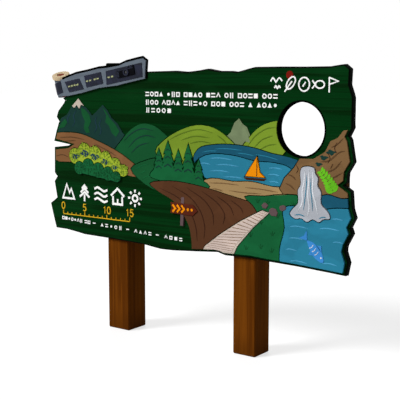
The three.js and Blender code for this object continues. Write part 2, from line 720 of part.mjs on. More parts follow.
function makeRoll(group) {
  const roll = new THREE.Group();
  roll.position.set(rollShift, rollDepth, 0);
  roll.rotation.y = -rollLean;
  const seat = rollTop - rollDiscThickness;
  const bore = rollCoreRadius + fitGap;
  const tube = slantTop(zLathe(ringProfile(bore, rollRadius, rollFoot, seat - fitGap), rollSides));
  const disc = slantTop(zLathe(ringProfile(bore, rollDiscRadius, seat, rollTop), rollSides));
  const coreProfile = rodProfile(rollCoreRadius, rollFoot, rollTop - rollCoreDrop);
  const core = slantTop(zLathe(coreProfile, rollSides));
  const wrap = new THREE.ExtrudeGeometry(wrapSection(), {
    depth: wrapHead - wrapFoot,
    bevelEnabled: false,
  });
  addPiece(roll, "film_roll", tube, painted(paints.stripFace));
  addPiece(roll, "roll_end_disc", disc, finish(paints.rollDisc, 0.7, 0));
  addPiece(roll, "roll_core", core, finish(paints.rollCore, 0.7, 0));
  addPiece(roll, "film_frame_1", wrap.translate(0, 0, wrapFoot), painted(paints.stripFrame));
  group.add(roll);
}

function makeStrip(group) {
  const seat = rollTop - rollDiscThickness - fitGap;
  const cutters = [rollCutter(rollRadius, -boardHeight), rollCutter(rollDiscRadius, seat)];
  const cut = (solid) => cutters.reduce((rest, cutter) => rest.subtract(cutter), solid);
  const backing = prism(stripOutline(stripBandWidth), stripSeam, stripBack);
  const face = prism(stripOutline(0), stripFront, stripFaceBack);
  addPiece(group, "plaque_backing", cut(backing), painted(paints.stripBack));
  addPiece(group, "plaque_face", cut(face), painted(paints.stripFace));
}

function makeFrames(group) {
  frameShares.forEach(({ name, low, high, lean }) => {
    const corners = [[low[0] + lean, low[1]], [high[0] + lean, low[1]],
      [high[0] - lean, high[1]], [low[0] - lean, high[1]]];
    const outline = corners.map(([x, z]) => [x * stripLength, z * stripHeight]);
    const back = stripFront - fitGap;
    addPiece(group, name, prismGeometry(outline, back - frameThickness, back),
      painted(paints.stripFrame));
  });
}

function makeCamera(group) {
  const onStrip = ([x, z]) => [x * stripLength, z * stripHeight];
  const middle = onStrip(cameraPlaceShares);
  const centre = onStrip(lensPlaceShares);
  const outline = cameraOutlineShares.map(([x, z]) => [
    middle[0] + x * cameraWidth, middle[1] + z * cameraHeight]);
  const bodyBack = stripFront - fitGap * 2 - frameThickness;
  const bodyFront = bodyBack - cameraThickness;
  addPiece(group, "camera_body", prismGeometry(outline, bodyFront, bodyBack),
    painted(paints.camera));
  const outer = prism(ovalOutline(lensRadius, lensRadius, centre),
    bodyFront - fitGap - lensThickness, bodyFront - fitGap);
  const bore = prism(ovalOutline(lensBore, lensBore, centre),
    bodyFront - overrun, bodyFront + overrun);
  addPiece(group, "camera_lens_ring", outer.subtract(bore), painted(paints.lens));
}

function makePlaque(group) {
  const plaque = new THREE.Group();
  const [x, z] = onBoard(stripOriginShares);
  plaque.position.set(x, 0, z);
  plaque.rotation.y = -stripTilt;
  makeStrip(plaque);
  makeRoll(plaque);
  makeFrames(plaque);
  makeCamera(plaque);
  group.add(plaque);
}

// The whole sign stands on the ground, centred over it.

const sign = new THREE.Group();
const board = new THREE.Group();
board.position.z = boardBottom;
sign.add(board);
makePlanks(board);
makeEdging(board);
makeBattens(board);
makeScrews(board);
makePicture(board);
makePlaque(board);
makePost(sign, "post_left", -1, boardBottom + boardHeight + leftPostRise);
makePost(sign, "post_right", 1, boardBottom + boardHeight - rightPostDrop);

const bounds = new THREE.Box3().setFromObject(sign, true);
const middle = bounds.getCenter(new THREE.Vector3());
sign.position.set(-middle.x, -middle.y, -bounds.min.z);

export default sign;
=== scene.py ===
"""A park interpretation sign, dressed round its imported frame: waney painted planks on two timber
posts, a raised landscape picture, plain pictograms and marks, and a header plaque in the form of
a strip of film. Metres. +X runs along the board, -Y is the side that is read, +Z is up."""

import json
import math
import random

import bmesh
import bpy
from mathutils import Euler, Matrix, Vector, kdtree, noise


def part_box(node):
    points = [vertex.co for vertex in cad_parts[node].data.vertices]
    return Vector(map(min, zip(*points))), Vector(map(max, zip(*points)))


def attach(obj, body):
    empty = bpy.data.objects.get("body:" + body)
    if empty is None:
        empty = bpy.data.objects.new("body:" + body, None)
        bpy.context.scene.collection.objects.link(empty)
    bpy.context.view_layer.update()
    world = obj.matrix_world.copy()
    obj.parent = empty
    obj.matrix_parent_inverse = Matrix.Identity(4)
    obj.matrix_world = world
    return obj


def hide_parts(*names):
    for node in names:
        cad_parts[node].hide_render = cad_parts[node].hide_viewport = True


bl_info = {
    "name": "Park interpretation sign",
    "version": (1, 0, 0),
    "blender": (4, 5, 0),
    "location": "View3D > Sidebar > Sign",
    "description": "Dresses a waney plank sign with paint, timber, pictograms and fixings",
    "category": "Object",
}

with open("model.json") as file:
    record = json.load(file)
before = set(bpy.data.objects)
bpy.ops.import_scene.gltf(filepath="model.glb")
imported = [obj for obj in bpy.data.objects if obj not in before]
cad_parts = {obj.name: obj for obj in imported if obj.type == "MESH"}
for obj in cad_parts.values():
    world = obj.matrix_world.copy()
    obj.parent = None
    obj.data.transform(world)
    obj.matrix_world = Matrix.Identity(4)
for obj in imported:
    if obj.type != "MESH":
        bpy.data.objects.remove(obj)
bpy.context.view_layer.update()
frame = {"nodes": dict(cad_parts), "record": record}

# Places on the board. A share is of its length from its middle, or of its height from its foot.

BOARD_LENGTH = 2.1
BOARD_HEIGHT = 1.04
BOARD_FOOT = 0.555
POSTS_BESIDE_MIDDLE = 0.073

PLANKS = ["plank_1", "plank_2_long", "plank_2_short", "plank_3", "plank_4", "plank_5", "plank_6"]
SIDES = ("left", "right")
ROWS = range(1, 7)
SCREWS = [f"screw_{side}_{row}" for side in SIDES for row in ROWS]
BATTENS = ["batten_left", "batten_middle", "batten_right"]
POSTS = ["post_left", "post_right"]
SLOT_OF = {part["node"]: part["material_slot"] for part in frame["record"]["subparts"]}
FIELDS = [node for node, slot in SLOT_OF.items() if slot.startswith("picture_")]


def middle_of(node):
    low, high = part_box(node)
    return (low + high) / 2


board_middle = sum(middle_of(post).x for post in POSTS) / 2 + POSTS_BESIDE_MIDDLE
board_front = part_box("plank_3")[0].y
board_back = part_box("plank_3")[1].y


def on_board(share_along, share_up):
    """The X and Z of a place on the board."""
    return Vector((board_middle + share_along * BOARD_LENGTH, BOARD_FOOT + share_up * BOARD_HEIGHT))


def front_of(node):
    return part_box(node)[0].y


# Sizes and colours that a user can change.


def size(name, description, default):
    return bpy.props.FloatProperty(
        name=name, description=description, default=default, min=0, unit="LENGTH", precision=4)


def turn(name, description, degrees):
    return bpy.props.FloatProperty(
        name=name, description=description, default=math.radians(degrees), unit="ROTATION")


def level(name, description, default):
    return bpy.props.FloatProperty(name=name, description=description, default=default, min=0)


def screen(levels):
    """A colour of three levels from 0 to 255 on a screen, in Blender's linear values."""
    shares = [value / 255 for value in levels]
    return tuple(s / 12.92 if s < 0.04 else ((s + 0.055) / 1.055) ** 2.4 for s in shares)


class StageSettings(bpy.types.PropertyGroup):
    """The camera, the lamps and the floor."""

    azimuth: turn("Azimuth", "How far round from the front the camera stands", 36.43)
    elevation: turn("Elevation", "How far the camera looks down", 7.872)
    distance: size("Distance", "From the camera to the board", 5.314)
    aim_beside: size("Aim beside", "Where the camera looks, beside the board's middle", 0.107)
    aim_up: size("Aim up", "Where the camera looks, above the ground", 0.865)
    lens: level("Lens", "Focal length in millimetres", 84.29)
    key: level("Key", "Strength of the key lamp", 3.1)
    fill: level("Fill", "Strength of the lamp behind the sign", 1.3)
    ambient: level("Ambient", "Light from the surroundings on matt surfaces", 0.22)
    softness: turn("Softness", "How wide the lamps look from the sign", 25)
    floor_radius: size("Floor radius", "Radius of the floor", 60)
    floor_grey: level("Floor grey", "How pale the floor is for light that falls on it", 0.45)
    floor_glow: level("Floor glow", "What the camera sees added to the floor's own colour", 0.66)


class BoardSizes(bpy.types.PropertyGroup):
    """The planks, the battens, the fixings and the opening's edging."""

    rim: size("Rim", "Width of the rounded rim of the face", 0.0095)
    back_rim: size("Back rim", "Width of the rounded rim of the back", 0.004)
    wane: size("Wane", "How deep the natural edge is worn in", 0.0035)
    batten_rounding: size("Batten rounding", "Rounding of the battens' edges", 0.003)
    post_rounding: size("Post rounding", "Rounding of the posts' edges", 0.0015)
    end_seal: size("End seal", "How far the dark seal of a post's top comes down", 0.024)
    lip_reach: size("Lip reach", "How far the edging's lip laps over the planks", 0.0045)
    lip_proud: size("Lip proud", "How far the edging's lip stands off the planks", 0.003)
    hex_across: size("Hex across", "Width of a screw's hexagon head across flats", 0.017)
    socket_across: size("Socket across", "Width of a batten screw's hexagon socket", 0.004)
    batten_screw: size("Batten screw", "Radius of a batten screw's round head", 0.0055)


class PictureSizes(bpy.types.PropertyGroup):
    """The raised picture and what is painted on it."""

    rounding: size("Rounding", "Rounding of the fields' edges", 0.0012)
    relief: size("Relief", "How far a stroke stands off its field", 0.0012)
    stroke_rounding: size("Stroke rounding", "Rounding of the strokes' edges", 0.0004)


class MarkSizes(bpy.types.PropertyGroup):
    """The pictograms, the rows of marks and the distance scale."""

    proud: size("Proud", "How far a mark stands off the planks", 0.003)
    rounding: size("Mark rounding", "Rounding of the marks' edges", 0.0007)
    title_width: size("Title width", "Width of a large pictogram", 0.108)
    title_height: size("Title height", "Height of a large pictogram", 0.104)
    title_stroke: size("Title stroke", "Width of a large pictogram's strokes", 0.0135)
    crest_width: size("Crest width", "Width of a small pictogram", 0.072)
    crest_height: size("Crest height", "Height of a small pictogram", 0.08)
    crest_stroke: size("Crest stroke", "Width of a small pictogram's strokes", 0.008)
    line_mark: size("Line mark", "Height of a mark in the text rows", 0.034)
    route_mark: size("Route mark", "Height of a mark in the route row", 0.027)
    digit: size("Digit", "Height of the distance scale's digits", 0.042)


class PlaqueSizes(bpy.types.PropertyGroup):
    """The header plaque."""

    rounding: size("Sheet rounding", "Rounding of the plaque's edges", 0.0012)
    body_rounding: size("Body rounding", "Rounding of the camera's edges", 0.0018)
    dash: size("Dash", "Length of the marks across the frames", 0.017)
    dash_height: size("Dash height", "Height of the marks across the frames", 0.009)


COLOURS = {
    "Paint of the planks and stain of their edges": {
        "board": (0, 47, 12), "board_streak": (0, 33, 4), "board_light": (6, 55, 19), "edge": (2, 5, 2),
        "edge_worn": (14, 12, 7),
    },
    "Stain and grain of the posts and battens": {
        "post": (107, 57, 7), "post_dark": (86, 43, 4), "post_light": (120, 66, 10),
        "batten": (84, 52, 20), "batten_dark": (62, 36, 12), "batten_light": (104, 68, 30),
    },
    "Screws, their rust and the opening's edging": {
        "steel": (150, 152, 154), "rust_stain": (110, 62, 30), "rubber": (3, 4, 3),
    },
    "Plaque, with its film, camera and roll": {
        "sheet": (104, 114, 125), "film": (34, 37, 54), "film_dark": (26, 29, 40),
        "film_mark": (176, 182, 132), "casing": (5, 5, 9), "glass": (6, 7, 12), "disc": (205, 183, 148),
        "roll_core": (122, 48, 24),
    },
    "Paint of the picture": {
        "teal": (26, 58, 52), "cream": (206, 192, 177), "mid_green": (22, 84, 46),
        "bright_green": (22, 96, 54), "olive": (122, 150, 44), "lime": (158, 178, 50),
        "grey_green": (120, 135, 100), "deep_blue": (28, 88, 112), "lake_blue": (44, 128, 156),
        "rust": (133, 92, 58), "tan": (170, 140, 95), "brown": (88, 55, 35), "bluff": (125, 95, 62),
        "silver": (180, 184, 192), "orange": (250, 150, 10), "ripple": (78, 160, 196),
        "furrow": (62, 36, 24), "contour": (92, 118, 34), "strata": (92, 66, 42), "navy": (36, 62, 80),
        "stone": (102, 82, 84), "blade": (90, 38, 24), "fern": (104, 190, 36), "fish": (62, 140, 210),
        "deck": (216, 196, 186), "foam": (222, 226, 232),
    },
    "Pictograms, rows of marks and scale": {
        "white": (255, 255, 253), "yellow": (216, 172, 36), "red": (128, 26, 16),
    },
}


def colour_settings():
    """A colour for each row of the table, from its levels on a screen."""
    return {
        name: bpy.props.FloatVectorProperty(
            name=name.replace("_", " ").capitalize(), description=use, default=screen(levels),
            size=3, min=0, max=1, subtype="COLOR")
        for use, rows in COLOURS.items() for name, levels in rows.items()}


class SignColours(bpy.types.PropertyGroup):
    """Paints and stains."""

    __annotations__ = colour_settings()


# Materials. A Value is an output of a shader node, and sums on it add Math nodes.


class Value:
    """A number that varies over a surface."""

    def __init__(self, finish, socket):
        self.finish = finish
        self.socket = socket

    def _sum(self, operation, first, second):
        return self.finish.node("Math", {"operation": operation}, {0: first, 1: second})

    def __add__(self, other):
        return self._sum("ADD", self, other)

    def __radd__(self, other):
        return self._sum("ADD", other, self)

    def __rsub__(self, other):
        return self._sum("SUBTRACT", other, self)

    def __mul__(self, other):
        return self._sum("MULTIPLY", self, other)

    def __rmul__(self, other):
        return self._sum("MULTIPLY", other, self)


OWN = "sign_"  # starts the names of these materials, unlike those of the CAD nodes
MATT = 0.02  # specular level of a deep outdoor paint


class Finish:
    """A material in the making, matt unless said. Fixed numbers go on the shader's own sockets."""

    def __init__(self, name, shine=MATT, **fixed):
        self.material = bpy.data.materials.new(OWN + name)
        self.material.use_nodes = True
        self.tree = self.material.node_tree
        self.shader = self.tree.nodes["Principled BSDF"]
        for socket, value in {"Specular IOR Level": shine, **fixed}.items():
            self.feed(self.shader.inputs[socket.replace("_", " ")], value)

    def feed(self, socket, value):
        if isinstance(value, Value):
            self.tree.links.new(value.socket, socket)
        elif socket.type == "RGBA":
            socket.default_value = (*value[:3], 1)
        else:
            socket.default_value = value

    def node(self, kind, settings, sockets, output=0):
        """Adds a node of any kind: its settings are set first, then its sockets are fed."""
        made = self.tree.nodes.new("ShaderNode" + kind)
        for setting, value in settings.items():
            setattr(made, setting, value)
        for socket, value in sockets.items():
            self.feed(made.inputs[socket], value)
        return Value(self, made.outputs[output])

    def place(self, scale=(1, 1, 1), shift=(0, 0, 0)):
        spot = self.node("TexCoord", {}, {}, "Object")
        return self.node("Mapping", {}, {"Vector": spot, "Scale": scale, "Location": shift})

    def part(self, vector, axis):
        return self.node("SeparateXYZ", {}, {"Vector": vector}, axis)

    def cloud(self, scale, detail=3.0, shift=(0, 0, 0), distortion=0.0):
        """Noise from 0 to 1 with its own scale along each axis."""
        return self.node("TexNoise", {}, {
            "Vector": self.place(scale, shift), "Scale": 1.0, "Detail": detail, "Distortion": distortion})

    def ramp(self, value, low, high):
        """0 below low, 1 above high and smooth between them."""
        return self.node("MapRange", {"interpolation_type": "SMOOTHSTEP"},
                         {"Value": value, "From Min": low, "From Max": high})

    def facing(self, axis, low, high):
        """1 where the surface looks along an axis, 0 where it looks across it."""
        normal = self.node("NewGeometry", {}, {}, "Normal")
        return self.ramp(self.part(normal, axis), low, high)

    def mix(self, mask, first, second):
        return self.node("Mix", {"data_type": "RGBA"}, {0: mask, 6: first, 7: second}, 2)

    def bump(self, height, distance):
        return self.node("Bump", {}, {"Height": height, "Distance": distance})

    def wear(self, tone, roughness, normal):
        """What changes over the surface."""
        self.feed(self.shader.inputs["Base Color"], tone)
        self.feed(self.shader.inputs["Roughness"], roughness)
        self.feed(self.shader.inputs["Normal"], normal)
        return self.material


ROLL_LEAN = math.radians(16)
RINGS = 1500  # radians of the roll's rings in a metre from its axis


def tinted(tone, share):
    """A colour made darker or lighter by a share."""
    return tuple(min(1, part * share) for part in tone)


def board_paint(name, colours):
    """Satin paint on sawn planks, streaked along the grain."""
    paint = Finish(name)
    streaks = paint.ramp(paint.cloud((0.7, 1, 24), 2.0, distortion=0.5), 0.47, 0.62)
    patches = paint.ramp(paint.cloud((1.6, 1, 7), 4.0, (5, 0, 2)), 0.52, 0.72)
    grain = paint.cloud((5, 5, 240), 2.0)
    fine = paint.ramp(paint.cloud((1.4, 1, 85), 3.0, (2, 0, 6), 0.3), 0.5, 0.66)
    tone = paint.mix(streaks, colours.board, colours.board_streak)
    tone = paint.mix(fine * 0.55, tone, tinted(colours.board_streak, 0.75))
    tone = paint.mix(patches * 0.6, tone, colours.board_light)
    return paint.wear(tone, 0.5 + grain * 0.2, paint.bump(grain + streaks * 0.6, 0.0012))


def edge_stain(name, colours):
    """Near-black stain on the wane, worn to the wood in places."""
    stain = Finish(name)
    bark = stain.cloud((22, 60, 34), 5.0, distortion=0.6)
    worn = stain.ramp(stain.cloud((9, 14, 16), 4.0, (3, 1, 8)), 0.58, 0.74)
    tone = stain.mix(worn * 0.7, colours.edge, colours.edge_worn)
    return stain.wear(tone, 0.62 + bark * 0.25, stain.bump(bark, 0.004))


def timber(name, colours):
    """Stained upright timber: streaks up the grain, rings on its end, darker towards the ground."""
    kind = name.removesuffix("_timber")
    main, dark, light = (getattr(colours, kind + shade) for shade in ("", "_dark", "_light"))
    wood = Finish(name)
    grain = wood.cloud((34, 34, 1.1), 4.0, distortion=0.7)
    pores = wood.cloud((210, 210, 5), 2.0)
    bands = wood.ramp(wood.cloud((11, 11, 0.4), 3.0, (7, 3, 1)), 0.5, 0.74)
    tone = wood.mix(wood.ramp(grain, 0.36, 0.6), dark, main)
    tone = wood.mix(bands * 0.75, tone, light)
    end = wood.facing("Z", 0.75, 0.9)
    rings = wood.ramp(wood.cloud((90, 90, 4), 1.0, distortion=1.5), 0.42, 0.58)
    tone = wood.mix(end * (0.35 + 0.3 * rings), tone, tinted(dark, 0.6))
    # the foot of a post is darkened towards the ground, over its lowest few centimetres
    darker_near_ground = 1 - wood.ramp(wood.part(wood.place(), "Z"), 0.02, 0.16)
    tone = wood.mix(darker_near_ground * 0.45, tone, tinted(dark, 0.7))
    return wood.wear(tone, 0.62 + pores * 0.25, wood.bump(grain * 0.5 + pores, 0.0016))


def fixings(name, colours):
    """Zinc plate, dulled, with a little rust."""
    zinc = Finish(name, shine=0.5, Metallic=0.9)
    spangle = zinc.cloud((260, 260, 260), 2.0)
    rusty = zinc.ramp(zinc.cloud((70, 70, 70), 4.0, (2, 5, 1)), 0.56, 0.7)
    tone = zinc.mix(rusty * 0.8, colours.steel, colours.rust_stain)
    return zinc.wear(tone, 0.34 + spangle * 0.2 + rusty * 0.3, zinc.bump(spangle, 0.0002))


def edging(name, colours):
    """Black rubber, scuffed."""
    rubber = Finish(name, shine=0.0)
    scuffs = rubber.ramp(rubber.cloud((30, 90, 30), 5.0), 0.55, 0.75)
    tone = rubber.mix(scuffs * 0.5, colours.rubber, tinted(colours.rubber, 2.6))
    return rubber.wear(tone, 0.45 + scuffs * 0.3, rubber.bump(scuffs, 0.0004))


def brushed(name, colours):
    """Brushed satin paint, named for its colour, with a second coat. White marks hardly vary."""
    main = getattr(colours, name.removeprefix("picture_").removesuffix("_paint"))
    spread = 0.03 if name == "white_paint" else 0.12
    paint = Finish(name)
    coats = paint.ramp(paint.cloud((3.2, 3, 6), 3.0, (4, 0, 9), 0.5), 0.46, 0.54)
    bristles = paint.cloud((26, 40, 190), 3.0, distortion=0.3)
    chalk = paint.ramp(paint.cloud((14, 14, 14), 5.0, (1, 2, 3)), 0.6, 0.8)
    tone = paint.mix(coats, main, tinted(main, 1 - spread))
    tone = paint.mix(chalk * 0.35, tone, tinted(main, 1 + spread * 1.5))
    return paint.wear(tone, 0.5 + bristles * 0.2, paint.bump(bristles, 0.0006))


def plaque_face(name, colours):
    """Chalky sheet paint, streaked down the sheet."""
    sheet = Finish(name)
    chalk = sheet.cloud((9, 9, 22), 4.0, distortion=0.4)
    fine = sheet.cloud((150, 150, 60), 2.0)
    tone = sheet.mix(sheet.ramp(chalk, 0.4, 0.65), colours.sheet, tinted(colours.sheet, 0.84))
    tone = sheet.mix(sheet.ramp(fine, 0.62, 0.72) * 0.4, tone, tinted(colours.sheet, 1.2))
    return sheet.wear(tone, 0.55 + fine * 0.2, sheet.bump(fine, 0.0005))


def plaque_frame(name, colours):
    """Dark film with a mottled print in it."""
    film = Finish(name, shine=0.08)
    mottle = film.ramp(film.cloud((26, 26, 38), 4.0, distortion=0.8), 0.42, 0.6)
    fine = film.cloud((180, 180, 180), 2.0)
    tone = film.mix(mottle, colours.film, colours.film_dark)
    return film.wear(tone, 0.4 + fine * 0.15, film.bump(fine, 0.0002))


def roll_disc(name, colours):
    """Cream end of the roll, ringed round its axis."""
    disc = Finish(name)
    spot = disc.place(shift=-middle_of("roll_core"))
    axis = (-math.sin(ROLL_LEAN), 0, math.cos(ROLL_LEAN))
    round_axis = disc.node("VectorMath", {"operation": "CROSS_PRODUCT"}, {0: spot, 1: axis})
    across = disc.node("VectorMath", {"operation": "LENGTH"}, {0: round_axis}, "Value")
    wave = disc.node("Math", {"operation": "SINE"}, {0: across * RINGS})
    rings = disc.ramp(wave, -0.6, 0.9)
    grime = disc.ramp(disc.cloud((45, 45, 45), 4.0), 0.45, 0.7)
    tone = disc.mix(rings * 0.3, colours.disc, tinted(colours.disc, 0.8))
    tone = disc.mix(grime * 0.4, tone, tinted(colours.disc, 0.7))
    return disc.wear(tone, 0.6 + grime * 0.2, disc.bump(rings, 0.0004))


def casing(name, colours):
    """Pebbled black casing."""
    skin = Finish(name)
    pebbles = skin.node("TexVoronoi", {}, {"Vector": skin.place(), "Scale": 420.0})
    worn = skin.ramp(skin.cloud((60, 60, 60), 4.0), 0.6, 0.75)
    tone = skin.mix(worn * 0.5, colours.casing, tinted(colours.casing, 2.4))
    return skin.wear(tone, 0.5 + pebbles * 0.2, skin.bump(pebbles, 0.0005))


def glass(name, colours):
    """Dark coated lens."""
    lens = Finish(name, shine=0.6)
    haze = lens.cloud((90, 90, 90), 3.0)
    tone = lens.mix(haze * 0.4, colours.glass, tinted(colours.film, 0.8))
    return lens.wear(tone, 0.06 + haze * 0.1, lens.bump(haze, 0.00005))


def floor_finish(stage):
    """A pale floor that the camera sees as white, with the sign's shadow kept."""
    pale = Finish("floor", Roughness=0.9, shine=0.0, Base_Color=(stage.floor_grey,) * 3)
    glow = pale.mix(seen_directly(pale), (0, 0, 0), (stage.floor_glow,) * 3)
    pale.feed(pale.shader.inputs["Emission Color"], glow)
    pale.shader.inputs["Emission Strength"].default_value = 1
    return pale.material


def seen_directly(finish):
    """1 for the camera's own rays and for those of gloss and glass, 0 for light on matt surfaces."""
    kinds = ("Camera", "Glossy", "Transmission")
    rays = [finish.node("LightPath", {}, {}, f"Is {kind} Ray") for kind in kinds]
    return finish.node("Math", {"operation": "MINIMUM"}, {0: sum(rays), 1: 1.0})


FINISHES = {make.__name__: make for make in (
    board_paint, edge_stain, fixings, edging, plaque_face, plaque_frame, roll_disc, casing, glass)}
FINISHES |= {"post_timber": timber, "batten_timber": timber}


def finish_named(name):
    """A finish by name, made the first time that a piece asks for it. The others are brushed paint."""
    make = FINISHES.get(name, brushed)
    return bpy.data.materials.get(OWN + name) or make(name, bpy.context.scene.sign_colours)


# Modelling. An operator acts on all that is selected, so each job starts with nothing selected.

MERGE_WITHIN = 0.0004
MERGE_PLANK_WITHIN = 0.0026
FLAT_WITHIN = math.radians(0.1)
JOINT_WITHIN = 0.003
SHARP_FROM = math.radians(40)
ROUND_SIDES = 24
MITRE_SHARE = 0.6  # a turn widens a stroke by one over this at most
TIP_SHARE = 0.2  # width of a tapered stroke's tips
TAPER = 4  # how fast a tapered stroke widens from its tips
SEAT = 0.0002  # how far a mark is let into what carries it
STROKE_LIFT = 0.0002  # strokes that cross end at different depths
FACING_READER = -1


def begin():
    if bpy.context.object and bpy.context.object.mode == "EDIT":
        bpy.ops.object.mode_set(mode="OBJECT")
    bpy.ops.object.select_all(action="DESELECT")


def edit(piece):
    begin()
    piece.select_set(True)
    bpy.context.view_layer.objects.active = piece
    bpy.ops.object.mode_set(mode="EDIT")
    bpy.ops.mesh.select_all(action="SELECT")


def choose(kind, test):
    """Selects the vertices, edges or faces that pass a test on their place or normal."""
    bpy.ops.mesh.select_mode(type=kind)
    bpy.ops.mesh.select_all(action="DESELECT")
    shape = bmesh.from_edit_mesh(bpy.context.edit_object.data)
    items = {"VERT": shape.verts, "EDGE": shape.edges, "FACE": shape.faces}[kind]
    for item in [item for item in items if test(item)]:
        item.select_set(True)
    bmesh.update_edit_mesh(bpy.context.edit_object.data)


def extrude(step):
    bpy.ops.mesh.extrude_region_move(TRANSFORM_OT_translate={"value": step})


def scale_chosen(share, centre):
    """Scales what is selected in X and Z."""
    bpy.ops.transform.resize(value=(share, 1, share), center_override=centre)


def point_outwards():
    bpy.ops.mesh.select_all(action="SELECT")
    bpy.ops.mesh.normals_make_consistent(inside=False)


def open_copy(node, name, merge=MERGE_WITHIN):
    """A copy of a CAD node, its loose triangles merged into flat faces, left in edit mode."""
    piece = bpy.data.objects.new(name, frame["nodes"][node].data.copy())
    bpy.context.collection.objects.link(piece)
    edit(piece)
    bpy.ops.mesh.remove_doubles(threshold=merge)
    bpy.ops.mesh.dissolve_limited(angle_limit=FLAT_WITHIN)
    return piece


def rounded_copy(node, name, rounding):
    """A copy of a CAD node with every sharp edge rounded."""
    piece = open_copy(node, name)
    begin()
    bevel = piece.modifiers.new("rounding", "BEVEL")
    bevel.width = rounding
    bevel.segments = 2
    bevel.limit_method = "ANGLE"
    bevel.angle_limit = SHARP_FROM
    bpy.context.view_layer.objects.active = piece
    bpy.ops.object.modifier_apply(modifier=bevel.name)
    return piece


def smooth(piece, crease=35):
    begin()
    piece.select_set(True)
    bpy.context.view_layer.objects.active = piece
    bpy.ops.object.shade_smooth_by_angle(angle=math.radians(crease))


def close(piece, finishes, slot, *nodes):
    """Paints a piece, sets it on the sign and hides the nodes it stands for."""
    begin()
    piece.data.materials.clear()
    for name in finishes:
        piece.data.materials.append(finish_named(name))
    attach(piece, "root")
    if nodes:
        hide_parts(*nodes)
    return piece


def dress(node, word, rounding, *finishes):
    """A rounded copy of a CAD node that stands for it, in the finish of its slot if none is given."""
    slot = SLOT_OF[node]
    return close(rounded_copy(node, f"{word}_{node}", rounding), finishes or [slot], slot, node)


def joined(name, pieces):
    """Several meshes as one piece."""
    begin()
    for piece in pieces:
        piece.select_set(True)
    bpy.context.view_layer.objects.active = pieces[0]
    bpy.ops.object.join()
    whole = bpy.context.object
    whole.name = name
    whole.data.name = name
    return whole


def mount(name, pieces, finish, slot, *nodes):
    """Meshes joined as one piece, painted and set on the sign."""
    return close(joined(name, pieces), [finish], slot, *nodes)


def repeated(name, piece, moves):
    """Copies of a piece as one, each moved by a matrix and with a mesh of its own."""
    made = []
    for move in moves:
        other = bpy.data.objects.new(name, piece.data.copy())
        bpy.context.collection.objects.link(other)
        other.data.transform(move)
        made.append(other)
    bpy.data.objects.remove(piece)
    return joined(name, made)


def lay_ring(points):
    """A ring of as many vertices as there are points, laid on them, left in edit mode."""
    begin()
    bpy.ops.mesh.primitive_circle_add(vertices=len(points), radius=1)
    piece = bpy.context.object
    for vertex, point in zip(piece.data.vertices, points):
        vertex.co = point
    edit(piece)
    return piece


def round_front(front, rounding):
    """Rounds the edges between a flat front and its sides."""
    def is_front_edge(edge):
        level = all(abs(v.co.y - front) < SEAT / 2 for v in edge.verts)
        return level and min(abs(face.normal.y) for face in edge.link_faces) < 0.5

    choose("EDGE", is_front_edge)
    bpy.ops.mesh.bevel(offset=rounding, segments=1, affect="EDGES", clamp_overlap=True)


def mitres(path, is_closed):
    """The way across a path at each of its points, longer where it turns."""
    steps = [after - before for before, after in zip(path, path[1:])]
    first, last = (steps[-1], steps[0]) if is_closed else (steps[0], steps[-1])
    across = []
    for into, away in zip([first, *steps], [*steps, last]):
        ways = [into.normalized(), away.normalized()]
        way = (ways[0] + ways[1]).normalized()
        normal = Vector((-way.y, way.x))
        share = normal.dot(Vector((-ways[0].y, ways[0].x)))
        across.append(normal / max(share, MITRE_SHARE))
    return across


class Layer:
    """Flat pieces that face the reader: where they begin and end in Y, and their edges' rounding."""

    def __init__(self, back, front, rounding):
        self.back = back
        self.front = front
        self.rounding = rounding

    def draw_out(self, front):
        """Draws what is selected out to a front and rounds its edges there."""
        extrude((0, front - self.back, 0))
        point_outwards()
        round_front(front, self.rounding)
        begin()

    def plate(self, outline):
        """A flat plate, from an outline in X and Z."""
        piece = lay_ring([(x, self.back, z) for x, z in outline])
        bpy.ops.mesh.edge_face_add()
        self.draw_out(self.front)
        return piece

    def ribbon(self, path, width, tapers=False, lift=0):
        """A flat strip along a path in X and Z: a grid laid along it, extruded and rounded."""
        path = [Vector(spot) for spot in path]
        is_closed = (path[0] - path[-1]).length < MERGE_WITHIN
        count = len(path)
        begin()
        bpy.ops.mesh.primitive_grid_add(x_subdivisions=count - 1, y_subdivisions=1, size=1)
        piece = bpy.context.object
        for i, (spot, across) in enumerate(zip(path, mitres(path, is_closed))):
            to_tip = min(i, count - 1 - i) / (count - 1)
            full = min(1, TIP_SHARE + TAPER * to_tip) if tapers else 1
            for row, side in ((0, -1), (1, 1)):
                x, z = spot + across * (side * full * width / 2)
                piece.data.vertices[row * count + i].co = (x, self.back, z)
        edit(piece)
        bpy.ops.mesh.remove_doubles(threshold=MERGE_WITHIN / 4)
        self.draw_out(self.front - lift)
        return piece

    def pictogram(self, middle, strokes, across, width):
        """Strokes in shares of a width and a height, laid round a middle."""
        return [self.ribbon([middle + Vector(spot) * across for spot in stroke], width,
                            lift=i * STROKE_LIFT) for i, stroke in enumerate(strokes)]


def on(surface, proud, rounding):
    """A layer let a little into what carries it."""
    return Layer(surface + SEAT, surface - proud, rounding)


def turned(profile, middle, steps):
    """A round piece about a line along Y, from a closed profile of radii and depths."""
    piece = lay_ring([(middle.x + radius, y, middle.y) for radius, y in profile])
    bpy.ops.mesh.spin(
        steps=steps, angle=2 * math.pi, center=(middle.x, 0, middle.y), axis=(0, 1, 0))
    bpy.ops.mesh.select_all(action="SELECT")
    bpy.ops.mesh.remove_doubles(threshold=MERGE_WITHIN / 4)
    point_outwards()
    begin()
    return piece


